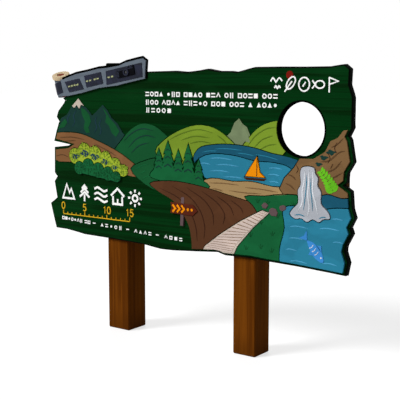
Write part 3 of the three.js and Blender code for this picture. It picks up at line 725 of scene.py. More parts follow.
def curved(points, steps=6):
    """A smooth line through the points."""
    spots = [Vector(point) for point in points]
    spots = [spots[0] * 2 - spots[1], *spots, spots[-1] * 2 - spots[-2]]
    line = []
    for a, b, c, d in zip(spots, spots[1:], spots[2:], spots[3:]):
        for t in (step / steps for step in range(steps)):
            rise = (c - a) * 0.5 * t
            bend = (a - b * 2.5 + c * 2 - d * 0.5) * t ** 2
            line.append(b + rise + bend + (b * 1.5 - c * 1.5 + d * 0.5 - a * 0.5) * t ** 3)
    return [*line, spots[-2]]


def directions(count):
    """Steps of one in as many directions, evenly round a circle."""
    angles = [2 * math.pi * i / count for i in range(count)]
    return [Vector((math.cos(angle), math.sin(angle))) for angle in angles]


def disc_outline(middle, radius, count=ROUND_SIDES):
    return [Vector(middle) + way * radius for way in directions(count)]


def closed(outline):
    """A path that ends where it starts."""
    return [*outline, outline[0]]


def rectangle(left, low, right, high):
    return [(left, low), (right, low), (right, high), (left, high)]


# Planks


def near_places(nodes):
    """A search tree of the nodes' corners, seen from the front."""
    spots = [v.co for node in nodes for v in frame["nodes"][node].data.vertices]
    tree = kdtree.KDTree(len(spots))
    for i, spot in enumerate(spots):
        tree.insert((spot.x, 0, spot.z), i)
    tree.balance()
    return tree


def is_free(vertex, tree):
    return tree.find((vertex.co.x, 0, vertex.co.z))[2] > JOINT_WITHIN


def divide_long_edges(tree):
    """Divides the outline's long edges while the flat sides are off, so that no cut crosses them."""
    def lies_flat(item):
        return any(all(abs(v.co.y - level) < SEAT for v in item.verts)
                   for level in (board_front, board_back))

    choose("FACE", lies_flat)
    bpy.ops.mesh.delete(type="FACE")
    choose("EDGE", lambda edge: edge.is_boundary and edge.calc_length() > LONG_EDGE
           and any(is_free(v, tree) for v in edge.verts))
    bpy.ops.mesh.subdivide(number_cuts=2)
    for level in (board_front, board_back):
        choose("EDGE", lambda edge: edge.is_boundary
               and all(abs(v.co.y - level) < SEAT for v in edge.verts))
        bpy.ops.mesh.fill(use_beauty=True)
    point_outwards()
    for least in (LONG_BRIDGE, 0):
        choose("EDGE", lambda edge: edge.calc_length() > least and len(edge.link_faces) == 2
               and all(lies_flat(face) for face in edge.link_faces))
        bpy.ops.mesh.dissolve_edges(use_verts=False)


def is_rim(edge, facing, tree):
    """Whether an edge lies between a face that looks along Y and the board's own outline."""
    across = [face.normal.y * facing for face in edge.link_faces]
    at_edge = max(across) > 0.9 and abs(min(across)) < 0.3
    return at_edge and any(is_free(v, tree) for v in edge.verts)


def wear_wane(piece, tree, depth):
    """Waves the outline's edge inwards between its front and its back."""
    for share in WANE_PLANES:
        bpy.ops.mesh.select_all(action="SELECT")
        plane = board_front + (board_back - board_front) * share
        bpy.ops.mesh.bisect(plane_co=(0, plane, 0), plane_no=(0, 1, 0))
        shape = bmesh.from_edit_mesh(piece.data)
        for vertex in shape.verts:
            if is_free(vertex, tree) and abs(vertex.co.y - plane) < MERGE_WITHIN:
                inward = -Vector((vertex.normal.x, 0, vertex.normal.z)).normalized()
                wave = noise.noise(vertex.co * WANE_PITCH)
                vertex.co += inward * depth * (0.5 + 0.5 * wave)
        bmesh.update_edit_mesh(piece.data)


WANE_PLANES = (0.35, 0.7)
WANE_PITCH = 25
LONG_EDGE = 0.05
LONG_BRIDGE = 0.12  # longer cuts between a flat side's outline and its holes go first
SHARP_CORNER = (0.502, 1.011)
CORNER_STEP = (-0.0154, 0, -0.0044)  # how far the corner at the top right is knocked back


class SIGN_OT_planks(bpy.types.Operator):
    """Dress the planks: a rounded rim, a waney edge and streaked paint."""

    bl_idname = "sign.planks"
    bl_label = "Planks"

    def execute(self, context):
        sizes = context.scene.sign_board
        for node in PLANKS:
            others = [other for other in PLANKS if other != node]
            tree = near_places([*others, "opening_edging", *SCREWS])
            piece = open_copy(node, f"painted_{node}", MERGE_PLANK_WITHIN)
            choose("VERT", lambda v: (v.co.xz - on_board(*SHARP_CORNER)).length < LONG_EDGE / 2)
            bpy.ops.transform.translate(value=CORNER_STEP)
            divide_long_edges(tree)
            wear_wane(piece, tree, sizes.wane)
            for facing, width in ((FACING_READER, sizes.rim), (1, sizes.back_rim)):
                choose("EDGE", lambda edge: is_rim(edge, facing, tree))
                bpy.ops.mesh.bevel(offset=width, segments=3, affect="EDGES", clamp_overlap=True)
            close(piece, ["board_paint", "edge_stain"], "board_paint", node)
            for face in piece.data.polygons:
                face.material_index = 0 if abs(face.normal.y) > 0.999 else 1
        return {"FINISHED"}


class SIGN_OT_edging(bpy.types.Operator):
    """Line the face opening with a lipped rubber edging, spun round and drawn into an oval."""

    bl_idname = "sign.edging"
    bl_label = "Opening edging"

    def execute(self, context):
        sizes = context.scene.sign_board
        low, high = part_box("opening_edging")
        centre = (low + high) / 2
        outer = (high.x - low.x) / 2
        rim = outer + sizes.lip_reach
        hole = outer - EDGING_WALL
        profile = [(hole, board_front), (hole, board_back)]
        for face, out in ((board_back, 1), (board_front, -1)):
            lip = [(hole + sizes.lip_proud / 2, sizes.lip_proud), (outer, sizes.lip_proud),
                   (rim - sizes.lip_proud / 3, sizes.lip_proud * 0.8), (rim, 0), (outer, 0)]
            profile += [(radius, face + out * proud) for radius, proud in lip[::out]]
        piece = turned(profile, centre.xz, EDGING_SIDES)
        edit(piece)
        bpy.ops.transform.resize(
            value=(1, 1, (high.z - low.z) / (high.x - low.x)), center_override=centre)
        smooth(mount("lipped_edging", [piece], "edging", "edging", "opening_edging"))
        return {"FINISHED"}


EDGING_WALL = 0.0047
EDGING_SIDES = 96


# Timber and fixings


def hexagon(across_flats):
    """Points spaced evenly by angle round a hexagon."""
    outline = []
    for i, way in enumerate(directions(ROUND_SIDES)):
        off_flat = (2 * math.pi * i / ROUND_SIDES + math.pi / 6) % (math.pi / 3) - math.pi / 6
        outline.append(way * (across_flats / 2 / math.cos(off_flat)))
    return outline


def tiers(outline, middle, profile):
    """A solid over an outline round a middle, from rows of a reach and a place in Y.
    It is left in edit mode with its last face selected."""
    piece = lay_ring([(middle.x + x, profile[0][1], middle.y + z) for x, z in outline])
    bpy.ops.mesh.edge_face_add()
    for (before, low), (reach, high) in zip(profile, profile[1:]):
        extrude((0, high - low, 0))
        scale_chosen(reach / before, (middle.x, high, middle.y))
    return piece


class SIGN_OT_posts(bpy.types.Operator):
    """Dress the posts: eased edges and stained timber."""

    bl_idname = "sign.posts"
    bl_label = "Posts"

    def execute(self, context):
        sizes = context.scene.sign_board
        for node in POSTS:
            piece = dress(node, "stained", sizes.post_rounding, "post_timber", "edge_stain")
            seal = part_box(node)[1].z - sizes.end_seal
            edit(piece)
            bpy.ops.mesh.bisect(plane_co=(0, 0, seal), plane_no=(0, 0, 1))
            begin()
            for face in piece.data.polygons:
                face.material_index = int(face.center.z > seal)
        return {"FINISHED"}


class SIGN_OT_battens(bpy.types.Operator):
    """Dress the battens and screw them to the planks."""

    bl_idname = "sign.battens"
    bl_label = "Battens"

    def execute(self, context):
        sizes = context.scene.sign_board
        for node in BATTENS:
            dress(node, "stained", sizes.batten_rounding)
        heads = repeated("batten_screws", self.make_head(sizes), self.places())
        close(heads, ["fixings"], "fixings")
        return {"FINISHED"}

    def make_head(self, sizes):
        """A round head with a hexagon socket, its axis on Y and its seat at the origin."""
        reach, rise = sizes.batten_screw, sizes.batten_screw * 0.55
        profile = [(reach, 0), (reach, rise * 0.45), (reach * 0.82, rise * 0.85), (reach * 0.5, rise)]
        piece = tiers(disc_outline((0, 0), reach), Vector((0, 0)), profile)
        extrude((0, 0, 0))
        corners = hexagon(sizes.socket_across)
        for vertex in bmesh.from_edit_mesh(piece.data).verts:
            if vertex.select:
                turns = math.atan2(vertex.co.z, vertex.co.x) / (2 * math.pi)
                corner = corners[round(turns * len(corners)) % len(corners)]
                vertex.co = (corner.x, rise, corner.y)
        bmesh.update_edit_mesh(piece.data)
        extrude((0, -rise * 0.5, 0))
        point_outwards()
        begin()
        return piece

    def places(self):
        """Two screws in each batten at every row, inside its ends."""
        spots = []
        for node in BATTENS:
            low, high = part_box(node)
            middle = (low.x + high.x) / 2
            for row in ROWS:
                left, right = (middle_of(f"screw_{side}_{row}") for side in SIDES)
                height = left.z + (right.z - left.z) * (middle - left.x) / (right.x - left.x)
                height = min(max(height, low.z + SCREW_MARGIN), high.z - SCREW_MARGIN)
                spots += [(middle + side * SCREW_MARGIN, high.y, height + side * SCREW_STAGGER)
                          for side in (-1, 1)]
        return [Matrix.Translation(spot) for spot in spots]


SCREW_MARGIN = 0.024
SCREW_STAGGER = 0.012


class SIGN_OT_fixings(bpy.types.Operator):
    """Make the flanged hexagon screws that hold the planks to the posts."""

    bl_idname = "sign.fixings"
    bl_label = "Fixings"

    def execute(self, context):
        sizes = context.scene.sign_board
        low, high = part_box(SCREWS[0])
        middle = (low + high) / 2
        flange = (high.x - low.x) / 2
        shank, washer = flange * 0.36, flange * 0.2
        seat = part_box("post_left")[1].y + SEAT
        profile = [(0, low.y), (shank * 0.9, low.y + SCREW_POINT * 0.8), (shank, low.y + SCREW_POINT),
                   (shank, seat), (flange, seat), (flange, seat + washer * 0.7),
                   (flange * 0.8, seat + washer), (0, seat + washer)]
        body = turned(profile, middle.xz, ROUND_SIDES)
        reach = sizes.hex_across / 2
        head = tiers(hexagon(sizes.hex_across), middle.xz, [
            (reach, seat + washer - SEAT), (reach, high.y - HEAD_SHOULDER),
            (reach - HEAD_SHOULDER, high.y)])
        point_outwards()
        begin()
        moves = [Matrix.Translation(middle_of(node) - middle) for node in SCREWS]
        whole = repeated("hex_screws", joined("hex_screw", [body, head]), moves)
        smooth(close(whole, ["fixings"], "fixings", *SCREWS))
        return {"FINISHED"}


SCREW_POINT = 0.01
HEAD_SHOULDER = 0.0012


# Picture


class SIGN_OT_picture(bpy.types.Operator):
    """Dress the raised fields of the picture: eased edges and brushed paint."""

    bl_idname = "sign.picture"
    bl_label = "Picture fields"

    def execute(self, context):
        rounding = context.scene.sign_picture.rounding
        for node in FIELDS:
            dress(node, "painted", rounding)
        return {"FINISHED"}


# What is painted on the fields. Places are shares of the board; shapes stand a little proud.


def on_field(node, reliefs=1, rounding=None):
    """The layer of a stroke on a field. A template of unit size has a rounding of its own."""
    sizes = bpy.context.scene.sign_picture
    return on(front_of(node), sizes.relief * reliefs, rounding or sizes.stroke_rounding)


def shape(name, node, outlines, finish, slot):
    """Flat painted shapes on a field, from outlines in shares of the board."""
    layer = on_field(node)
    made = [layer.plate([on_board(*spot) for spot in outline]) for outline in outlines]
    return mount(name, made, finish, slot)


def strokes(name, node, lines, width, finish, slot, tapers=True):
    """Brush strokes on a field, curved through places in shares of the board."""
    layer = on_field(node)
    made = [layer.ribbon(curved([on_board(*spot) for spot in line], 5), width, tapers)
            for line in lines]
    return mount(name, made, finish, slot)


def points(numbers, unit=1000):
    """Places from numbers in pairs, in thousandths unless another unit is given."""
    return [(u / unit, w / unit) for u, w in zip(numbers[::2], numbers[1::2])]


def paint(table):
    """Paints rows of a name, a node, a width, a finish, a slot and lines in thousandths of the board.
    A row without a width holds the outlines of flat shapes."""
    for name, node, width, finish, slot, *lines in table:
        lines = [points(line) for line in lines]
        if width:
            strokes(name, node, lines, width, finish, slot)
        else:
            shape(name, node, lines, finish, slot)


def between(first, last, share):
    return Vector(first) + (Vector(last) - Vector(first)) * share


def placed(place, angle, length, lift=0):
    """Moves a template of unit size from the origin onto the board, turned and lengthened."""
    x, z = place
    turn_by = Matrix.Rotation(-angle, 4, "Y")
    return Matrix.Translation((x, -lift, z)) @ turn_by @ Matrix.Diagonal((length, 1, length, 1))


def leaves(name, node, spots, finish, slot):
    """Pointed leaves on a field: place, angle in degrees and length in millimetres."""
    moves = [placed(on_board(u, w), math.radians(angle), length / 1000, (1 + i % LIFTS) * LEAF_LIFT)
             for i, (u, w, angle, length) in enumerate(spots)]
    leaf = on_field(node, rounding=0.02).plate([*LEAF, *[(x, -z) for x, z in LEAF[-2:0:-1]]])
    return close(repeated(name, leaf, moves), [finish], slot)


LEAF = [(0, 0), (0.22, 0.2), (0.52, 0.27), (0.82, 0.15), (1, 0)]  # half its outline, stalk first
LIFTS = 7
LEAF_LIFT = 0.0002  # leaves that overlap lie at different depths


def crown_leaves(crowns, seed):
    """Leaves that fan out in rings over round crowns, each crown a place and a reach in metres."""
    dice = random.Random(seed)
    spots = []
    for u, w, reach in crowns:
        for share, count in CROWN_RINGS:
            for i in range(count):
                angle = 2 * math.pi * (i + dice.random() * 0.5) / count
                along = u + math.cos(angle) * reach * share / BOARD_LENGTH
                up = w + math.sin(angle) * reach * share / BOARD_HEIGHT
                spots.append((along, up, math.degrees(angle) + dice.uniform(-30, 30),
                              dice.uniform(13, 20)))
    return spots


CROWN_RINGS = ((0.82, 11), (0.5, 7), (0.18, 3))  # share of a crown's reach, number of leaves
LIGHT_CROWNS = [(-0.408, 0.497, 0.038), (-0.37, 0.53, 0.042), (-0.328, 0.515, 0.042),
                (-0.287, 0.49, 0.04), (-0.25, 0.46, 0.034), (-0.216, 0.43, 0.026)]
DARK_CROWNS = [(-0.39, 0.42, 0.03), (-0.355, 0.432, 0.036), (-0.315, 0.415, 0.034),
               (-0.277, 0.4, 0.031), (-0.245, 0.387, 0.022)]
LIGHT_SHADE = [(-0.405, 0.487, 0.026, 3), (-0.366, 0.51, 0.03, 4), (-0.327, 0.494, 0.029, 3),
               (-0.288, 0.468, 0.026, 4), (-0.25, 0.44, 0.02, 3)]


def blob(u, w, reach, lobes):
    """A wavy patch wider than it is high."""
    spots = []
    for i in range(BLOB_POINTS):
        angle = 2 * math.pi * i / BLOB_POINTS
        wave = 1 + LOBE_DEPTH * math.sin(lobes * angle + 0.6) + RIPPLE_DEPTH * math.sin(7 * angle)
        spots.append((u + math.cos(angle) * reach * wave * BLOB_WIDTH / BOARD_LENGTH,
                      w + math.sin(angle) * reach * wave * BLOB_RISE / BOARD_HEIGHT))
    return spots


BLOB_POINTS = 30
BLOB_WIDTH = 1.2
BLOB_RISE = 0.62
LOBE_DEPTH = 0.22
RIPPLE_DEPTH = 0.09


class SIGN_OT_hills(bpy.types.Operator):
    """Paint the mountains, the hills and the bluff: facets, contours and layers of rock."""

    bl_idname = "sign.hills"
    bl_label = "Hills"

    def execute(self, context):
        paint(HILLS)
        return {"FINISHED"}


HILLS = [
    ("mountain_facets", "mountain_teal", 0, "mid_green", "picture_mid_green",
     (-381.5, 780, -364, 768, -348, 738, -342, 700, -353, 665, -347, 635, -362, 630, -372, 660,
      -366, 700, -378, 740),
     (-296, 785, -281, 758, -268, 722, -246, 686, -233, 650, -246, 617, -262, 640, -272, 680,
      -286, 700, -282, 740),
     (-478, 648, -460, 690, -446, 710, -438, 690, -450, 660)),
    ("mountain_gullies", "mountain_teal", 0.005, "navy", "picture_teal",
     (-400, 765, -412, 730, -408, 695, -420, 660), (-424, 745, -436, 715, -434, 680),
     (-318, 735, -326, 705, -320, 670, -330, 635), (-300, 720, -310, 685, -303, 650, -312, 615)),
    ("ridge_contours", "ridge_green", 0.006, "teal", "picture_teal",
     (-215, 600, -185, 645, -150, 672, -110, 665), (-200, 560, -170, 612, -135, 635, -100, 625),
     (-190, 530, -160, 575, -125, 595)),
    ("olive_contours", "hill_olive", 0.006, "contour", "picture_olive",
     (-50, 620, -10, 655, 45, 682, 95, 668), (-10, 620, 35, 645, 85, 640), (20, 605, 55, 618, 90, 612),
     (110, 655, 128, 635, 140, 612)),
    ("light_contours", "hill_light", 0.006, "contour", "picture_olive",
     (205, 605, 228, 660, 260, 700, 290, 712), (225, 600, 250, 645, 282, 668),
     (245, 595, 268, 617, 292, 625)),
    ("crag_facet", "crag_grey", 0, "grey_green", "picture_grey_green",
     (178, 738, 188, 714, 200, 700, 208, 660, 214, 625, 196, 632, 190, 665, 181, 690)),
    ("slope_lines", "hill_rust", 0.005, "strata", "picture_brown",
     (-470, 595, -420, 602, -370, 592), (-450, 575, -405, 583), (-330, 570, -285, 540, -245, 508),
     (-245, 485, -222, 460, -205, 435), (-490, 480, -460, 492, -435, 480)),
    ("rock_layers", "bluff_brown", 0.007, "strata", "picture_brown",
     (420, 550, 445, 560, 470, 600, 486, 610), (435, 500, 460, 520, 478, 560),
     (328, 475, 342, 468, 352, 450), (425, 460, 455, 475, 482, 505), (450, 625, 465, 640, 482, 672),
     (322, 430, 336, 420, 350, 398)),
    ("rock_cracks", "bluff_brown", 0.004, "furrow", "picture_brown",
     (440, 600, 447, 570, 441, 545), (465, 650, 459, 620, 466, 595), (352, 530, 358, 505, 353, 485),
     (455, 545, 449, 520)),
]


class SIGN_OT_plants(bpy.types.Operator):
    """Paint the groves, the pines, the meadow and the fern: shade, leaves and branches."""

    bl_idname = "sign.plants"
    bl_label = "Plants"

    def execute(self, context):
        shades = [blob(*patch) for patch in LIGHT_SHADE]
        shape("grove_shade", "grove_light", shades, "navy", "picture_deep_blue")
        leaves("light_leaves", "grove_light", crown_leaves(LIGHT_CROWNS, 3), "olive", "picture_olive")
        leaves("dark_leaves", "grove_dark", crown_leaves(DARK_CROWNS, 5), "mid_green",
               "picture_mid_green")
        self.branch_pines()
        self.grow_fern()
        paint(MEADOW)
        shrubs = [blob(*patch) for patch in SHRUBS]
        shape("bluff_shrubs", "bluff_brown", shrubs, "teal", "picture_teal")
        strokes("bank_grass", "bank_green", bank_grass(), 0.004, "mid_green", "picture_mid_green")
        return {"FINISHED"}

    def branch_pines(self):
        chevron = on_field("pine_stand", rounding=0.03).ribbon([(-1, -0.55), (0, 0), (1, -0.55)], 0.26)
        moves = []
        for u, foot, height, half_width in PINES:
            for up, out in PINE_TIERS:
                place = on_board(u, foot + height * up)
                moves.append(placed(place, 0, half_width * BOARD_LENGTH * out))
        close(repeated("pine_branches", chevron, moves), ["teal"], "picture_teal")

    def grow_fern(self):
        strokes("fern_rib", "bluff_brown", [FERN_RIB], 0.005, "fern", "picture_lime")
        spots = []
        rib = curved(FERN_RIB, 2)
        for i, (low, high) in enumerate(zip(rib, rib[1:])):
            along, up = high - low
            heading = math.degrees(math.atan2(up * BOARD_HEIGHT, along * BOARD_LENGTH))
            length = LONGEST_LEAFLET * (1 - 0.5 * i / len(rib))
            spots += [(low.x, low.y, heading + side * LEAFLET_ANGLE, length) for side in (-1, 1)]
        leaves("fern_leaflets", "bluff_brown", spots, "fern", "picture_lime")


LONGEST_LEAFLET = 46  # millimetres
LEAFLET_ANGLE = 58
PINES = [(-0.088, 0.415, 0.15, 0.021), (-0.056, 0.41, 0.2, 0.027), (-0.02, 0.4, 0.165, 0.023),
         (0.014, 0.385, 0.215, 0.026), (0.049, 0.37, 0.15, 0.021)]
PINE_TIERS = [(0.36, 0.5), (0.58, 0.38), (0.78, 0.26)]
FERN_RIB = points((458, 405, 452, 430, 442, 462, 430, 490, 420, 510))
MEADOW = [
    ("meadow_strokes", "meadow_green", 0.005, "bright_green", "picture_bright_green",
     (-175, 435, -150, 462, -125, 475), (-155, 415, -135, 438), (-150, 385, -130, 405, -115, 402),
     (-110, 360, -85, 366)),
]
SHRUBS = [(0.43, 0.572, 0.018, 3), (0.449, 0.6, 0.02, 4), (0.416, 0.538, 0.015, 3)]


def bank_grass():
    """Short blades in tufts on the bank."""
    dice = random.Random(11)
    tufts = [(0.218, 0.13), (0.25, 0.075), (0.285, 0.15), (0.205, 0.06), (0.283, 0.06),
             (0.3, 0.245), (0.25, 0.205), (0.27, 0.315), (0.345, 0.32), (0.24, 0.315)]
    blades = []
    for u, w in tufts:
        for lean in (-0.005, 0, 0.005):
            foot = u + lean * 0.4
            top = w + dice.uniform(0.02, 0.032) - abs(lean)
            blades.append([(foot, w), (foot + lean * 0.35, (w + top) / 2), (u + lean * 1.5, top)])
    return blades


class SIGN_OT_water(bpy.types.Operator):
    """Paint the lake, the pool and the waterfall: ripples, streaks, a boat's hull and a fish."""

    bl_idname = "sign.water"
    bl_label = "Water"

    def execute(self, context):
        paint(WATER)
        strokes("boat_mast", "sail", [MAST], 0.004, "furrow", "picture_brown", tapers=False)
        self.swim()
        return {"FINISHED"}

    def swim(self):
        """A fish of unit length along X, then turned to dive."""
        body = curved(FISH_BODY, 3)[:-1]
        layer = on_field("pool_light", 2, 0.01)
        whole = [layer.plate(outline) for outline in (body, *FISH_FINS)]
        move = placed(on_board(*FISH_PLACE), FISH_TURN, FISH_LENGTH)
        close(repeated("fish", joined("fish", whole), [move]), ["fish"], "picture_lake_blue")
        skin = front_of("pool_light") - bpy.context.scene.sign_picture.relief
        over = Layer(skin, skin - 2 * bpy.context.scene.sign_picture.relief, 0.005)
        marks = [over.ribbon(curved([(x, 0.1), (x + 0.03, 0), (x, -0.1)], 4), 0.025)
                 for x in (-0.2, -0.05, 0.1)]
        marks.append(over.plate(disc_outline((0.33, 0.045), 0.032, 12)))
        marks = repeated("fish_marks", joined("fish_marks", marks), [move])
        close(marks, ["foam"], "picture_silver")


MAST = points((236.5, 548, 236, 500, 235.5, 454))
FISH_PLACE = (0.41, 0.1)
FISH_TURN = math.radians(-48)
FISH_LENGTH = 0.15
FISH_BODY = points((-50, 0, -20, 17, 15, 20, 42, 10, 50, 0, 40, -10, 10, -17, -20, -12, -50, 0), 100)
FISH_FINS = [[(-0.45, 0), (-0.74, 0.22), (-0.67, 0), (-0.74, -0.22)],
             [(-0.12, 0.17), (0.02, 0.33), (0.2, 0.19)], [(-0.1, -0.14), (-0.06, -0.29), (0.1, -0.16)]]
WATER = [
    ("lake_ripples", "lake_light", 0.006, "ripple", "picture_lake_blue",
     (85, 530, 120, 536, 160, 530), (105, 497, 140, 503, 180, 497), (85, 462, 120, 468, 150, 463),
     (270, 500, 290, 504, 312, 498), (268, 466, 288, 470, 305, 465), (130, 437, 165, 440, 195, 436),
     (55, 500, 70, 503, 88, 498), (272, 430, 288, 433, 302, 428)),
    ("far_ripples", "lake_deep", 0.005, "lake_blue", "picture_lake_blue",
     (100, 582, 140, 588, 190, 583), (60, 560, 85, 570, 110, 572), (230, 566, 265, 560, 300, 545),
     (170, 568, 200, 566, 228, 558)),
    ("pool_ripples", "pool_light", 0.006, "ripple", "picture_lake_blue",
     (335, 210, 360, 216, 390, 210), (420, 215, 445, 222, 478, 217), (335, 150, 355, 155, 376, 150),
     (335, 30, 360, 37, 390, 30), (430, 40, 450, 46, 472, 40), (325, 90, 340, 94, 358, 89),
     (455, 270, 470, 274, 487, 270), (460, 155, 473, 159, 488, 155)),
    ("falling_water", "waterfall_silver", 0.007, "foam", "picture_silver",
     (378, 505, 377, 450, 372, 400, 372, 340, 360, 290),
     (390, 510, 390, 450, 388, 380, 392, 320, 388, 270),
     (400, 505, 402, 460, 401, 400, 410, 340, 417, 285)),
    ("falling_shade", "waterfall_silver", 0.005, "lake_blue", "picture_lake_blue",
     (384, 480, 383, 420, 380, 360, 376, 300), (396, 470, 396, 410, 400, 350, 402, 300),
     (350, 272, 366, 277, 380, 270), (420, 268, 432, 276, 440, 274)),
    ("boat_hull", "lake_light", 0, "furrow", "picture_brown",
     (194, 444, 203, 431, 257, 431, 266, 444)),
]


class SIGN_OT_path(bpy.types.Operator):
    """Paint the ploughed field, the shore and the boardwalk: furrows, boards and stones."""

    bl_idname = "sign.path"
    bl_label = "Path"

    def execute(self, context):
        paint(FIELD_AND_SHORE)
        sizes = bpy.context.scene.sign_picture
        self.lay_strips("walk_boards", 0, sizes.relief, "deck", "picture_cream")
        self.lay_strips("walk_gaps", 1, sizes.relief / 3, "bluff", "picture_bluff")
        self.set_stones()
        return {"FINISHED"}

    def lay_strips(self, name, first, relief, finish, slot):
        """Every other row of a grid along the walk: the boards, or the gaps between them."""
        layer = on(front_of("boardwalk"), relief, relief / 4)
        rows = 2 * WALK_BOARDS
        begin()
        bpy.ops.mesh.primitive_grid_add(x_subdivisions=1, y_subdivisions=rows, size=1)
        piece = bpy.context.object
        left, right = curved(WALK_LEFT, 6), curved(WALK_RIGHT, 6)
        for row in range(rows + 1):
            share = 1 - (1 - (row // 2 + (row % 2) * BOARD_SHARE) / WALK_BOARDS) ** WALK_NARROWING
            ends = [along_line(line, share) for line in (left, right)]
            for column, side in enumerate(WALK_SIDES):
                x, z = on_board(*between(*ends, side))
                piece.data.vertices[row * 2 + column].co = (x, layer.back, z)
        edit(piece)
        choose("FACE", lambda face: face.index % 2 != first)
        bpy.ops.mesh.delete(type="FACE")
        bpy.ops.mesh.select_all(action="SELECT")
        layer.draw_out(layer.front)
        mount(name, [piece], finish, slot)

    def set_stones(self):
        layer = on(front_of("bank_green"), STONE_PROUD, STONE_ROUNDING)
        made = []
        for u, w, reach, corners in STONES:
            spots = [(u + math.cos(a) * r / BOARD_LENGTH, w + math.sin(a) * r * 0.8 / BOARD_HEIGHT)
                     for a, r in stone_corners(reach, corners)]
            made.append(layer.plate([on_board(*spot) for spot in spots]))
        mount("stones", made, "stone", "picture_bluff")


def stone_corners(reach, corners):
    """Angles and reaches of a stone's corners, a little uneven."""
    dice = random.Random(corners)
    return [(2 * math.pi * (i + dice.uniform(-0.25, 0.25)) / corners, reach * dice.uniform(0.85, 1.1))
            for i in range(corners)]


def along_line(line, share):
    """The place at a share of the way along a line of many points."""
    spot = min(max(share, 0), 1) * (len(line) - 1)
    low = min(int(spot), len(line) - 2)
    return between(line[low], line[low + 1], spot - low)


WALK_BOARDS = 17
BOARD_SHARE = 0.82  # share of a board and its gap that is board
WALK_NARROWING = 1.4
WALK_SIDES = (0.06, 0.94)
STONE_PROUD = 0.0038
STONE_ROUNDING = 0.0022
WALK_LEFT = points((66, 40, 86, 73, 120, 121, 187, 206, 250, 272))
WALK_RIGHT = points((165, 32, 175, 70, 204, 135, 228, 184, 270, 266))
STONES = [(0.288, 0.275, 0.032, 7), (0.262, 0.305, 0.021, 6), (0.315, 0.302, 0.022, 8)]
FIELD_AND_SHORE = [
    ("furrows", "field_brown", 0.006, "furrow", "picture_brown",
     (-85, 345, -20, 300, 20, 230, 40, 150, 45, 70), (-40, 362, 20, 310, 55, 240, 70, 160, 68, 90),
     (10, 360, 65, 305, 95, 240, 100, 170), (60, 350, 110, 295, 135, 235, 130, 180),
     (110, 330, 150, 285, 165, 235), (155, 315, 185, 282, 195, 250)),
    ("shore_lines", "shore_tan", 0.005, "bluff", "picture_bluff",
     (85, 398, 130, 402, 180, 400), (200, 390, 250, 388, 300, 380), (150, 366, 200, 362, 250, 364),
     (285, 360, 305, 366, 325, 370), (95, 370, 115, 366, 130, 360)),
]


# Plaque

PLAQUE_TILT = math.radians(10)
PLAQUE_PIECES = [
    "plaque_backing", "plaque_face", "film_frame_1", "film_frame_2", "film_frame_3", "film_frame_4",
    "film_roll", "roll_end_disc", "roll_core"]
CREASE = 25  # degrees past which the plaque's pieces are creased
BACKING_SHOWS = 0.004


def on_plaque(middle, along, up):
    """The X and Z of a place on the tilted plaque, seen from one of its pieces."""
    return middle + Matrix.Rotation(PLAQUE_TILT, 2) @ Vector((along, up))


class SIGN_OT_plaque(bpy.types.Operator):
    """Dress the header plaque: its sheets, its frames and the roll at its end."""

    bl_idname = "sign.plaque"
    bl_label = "Plaque"

    def execute(self, context):
        for node in PLAQUE_PIECES:
            piece = dress(node, "dressed", context.scene.sign_plaque.rounding)
            if node == "plaque_face":
                self.lower_top(piece)
            smooth(piece, CREASE)
        return {"FINISHED"}

    def lower_top(self, piece):
        """Draws the upper edge of the face down, so that more of the black backing shows."""
        up = Vector((-math.sin(PLAQUE_TILT), math.cos(PLAQUE_TILT)))
        middle = middle_of("plaque_face").xz
        edit(piece)
        choose("VERT", lambda v: (v.co.xz - middle).dot(up) > 0)
        x, z = up * -BACKING_SHOWS
        bpy.ops.transform.translate(value=(x, 0, z))


class SIGN_OT_plaque_camera(bpy.types.Operator):
    """Dress the camera on the plaque: top plate, viewfinder, grip, barrel and glass."""

    bl_idname = "sign.plaque_camera"
    bl_label = "Plaque camera"

    def execute(self, context):
        rounding = context.scene.sign_plaque.body_rounding
        for node, finish in (("camera_body", "casing"), ("camera_lens_ring", "plaque_frame")):
            smooth(dress(node, "dressed", rounding, finish), CREASE)
        self.fit_glass()
        self.fit_body()
        return {"FINISHED"}

    def fit_glass(self):
        """A barrel and a domed glass, from rows of a share of the bore and one of the depth."""
        low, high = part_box("camera_lens_ring")
        depth, bore = high.y - low.y, (high.x - low.x) / 2 * BORE_SHARE
        behind = 1 - SEAT / depth
        barrel = [(0, 1), (1, 1), (1, 0.25), (0.86, 0.25), (0.8, 0.7), (0, 0.7)]
        dome = [(0, behind), (0.8, behind), (0.78, 0.68), (0.5, 0.55), (0, 0.5)]
        for name, profile, finish in (("lens_barrel", barrel, "casing"), ("lens_glass", dome, "glass")):
            profile = [(bore * out, low.y + depth * back) for out, back in profile]
            piece = turned(profile, ((low + high) / 2).xz, LENS_SIDES)
            smooth(mount(name, [piece], finish, SLOT_OF["camera_lens_ring"]))

    def fit_body(self):
        """A top plate, a viewfinder and a grip, each a box seen from the lens."""
        layer = on(front_of("camera_body"), TRIM_PROUD, TRIM_ROUNDING)
        lens = middle_of("camera_lens_ring").xz
        for name, edges in CAMERA_TRIM.items():
            piece = layer.plate([on_plaque(lens, *corner) for corner in rectangle(*edges)])
            mount(name, [piece], "plaque_frame", SLOT_OF["camera_body"])


BORE_SHARE = 0.53
LENS_SIDES = 32
TRIM_PROUD = 0.0016
TRIM_ROUNDING = 0.0005
CAMERA_TRIM = {"camera_top_plate": (-0.07, 0.0155, 0.056, 0.021),
               "camera_finder": (0.03, 0.024, 0.052, 0.031),
               "camera_grip": (-0.07, -0.019, -0.056, 0.012)}


# Pictograms and marks. Points of a pictogram are shares of its width and height from its middle.


def hundredths(*strokes):
    return [points(stroke, 100) for stroke in strokes]


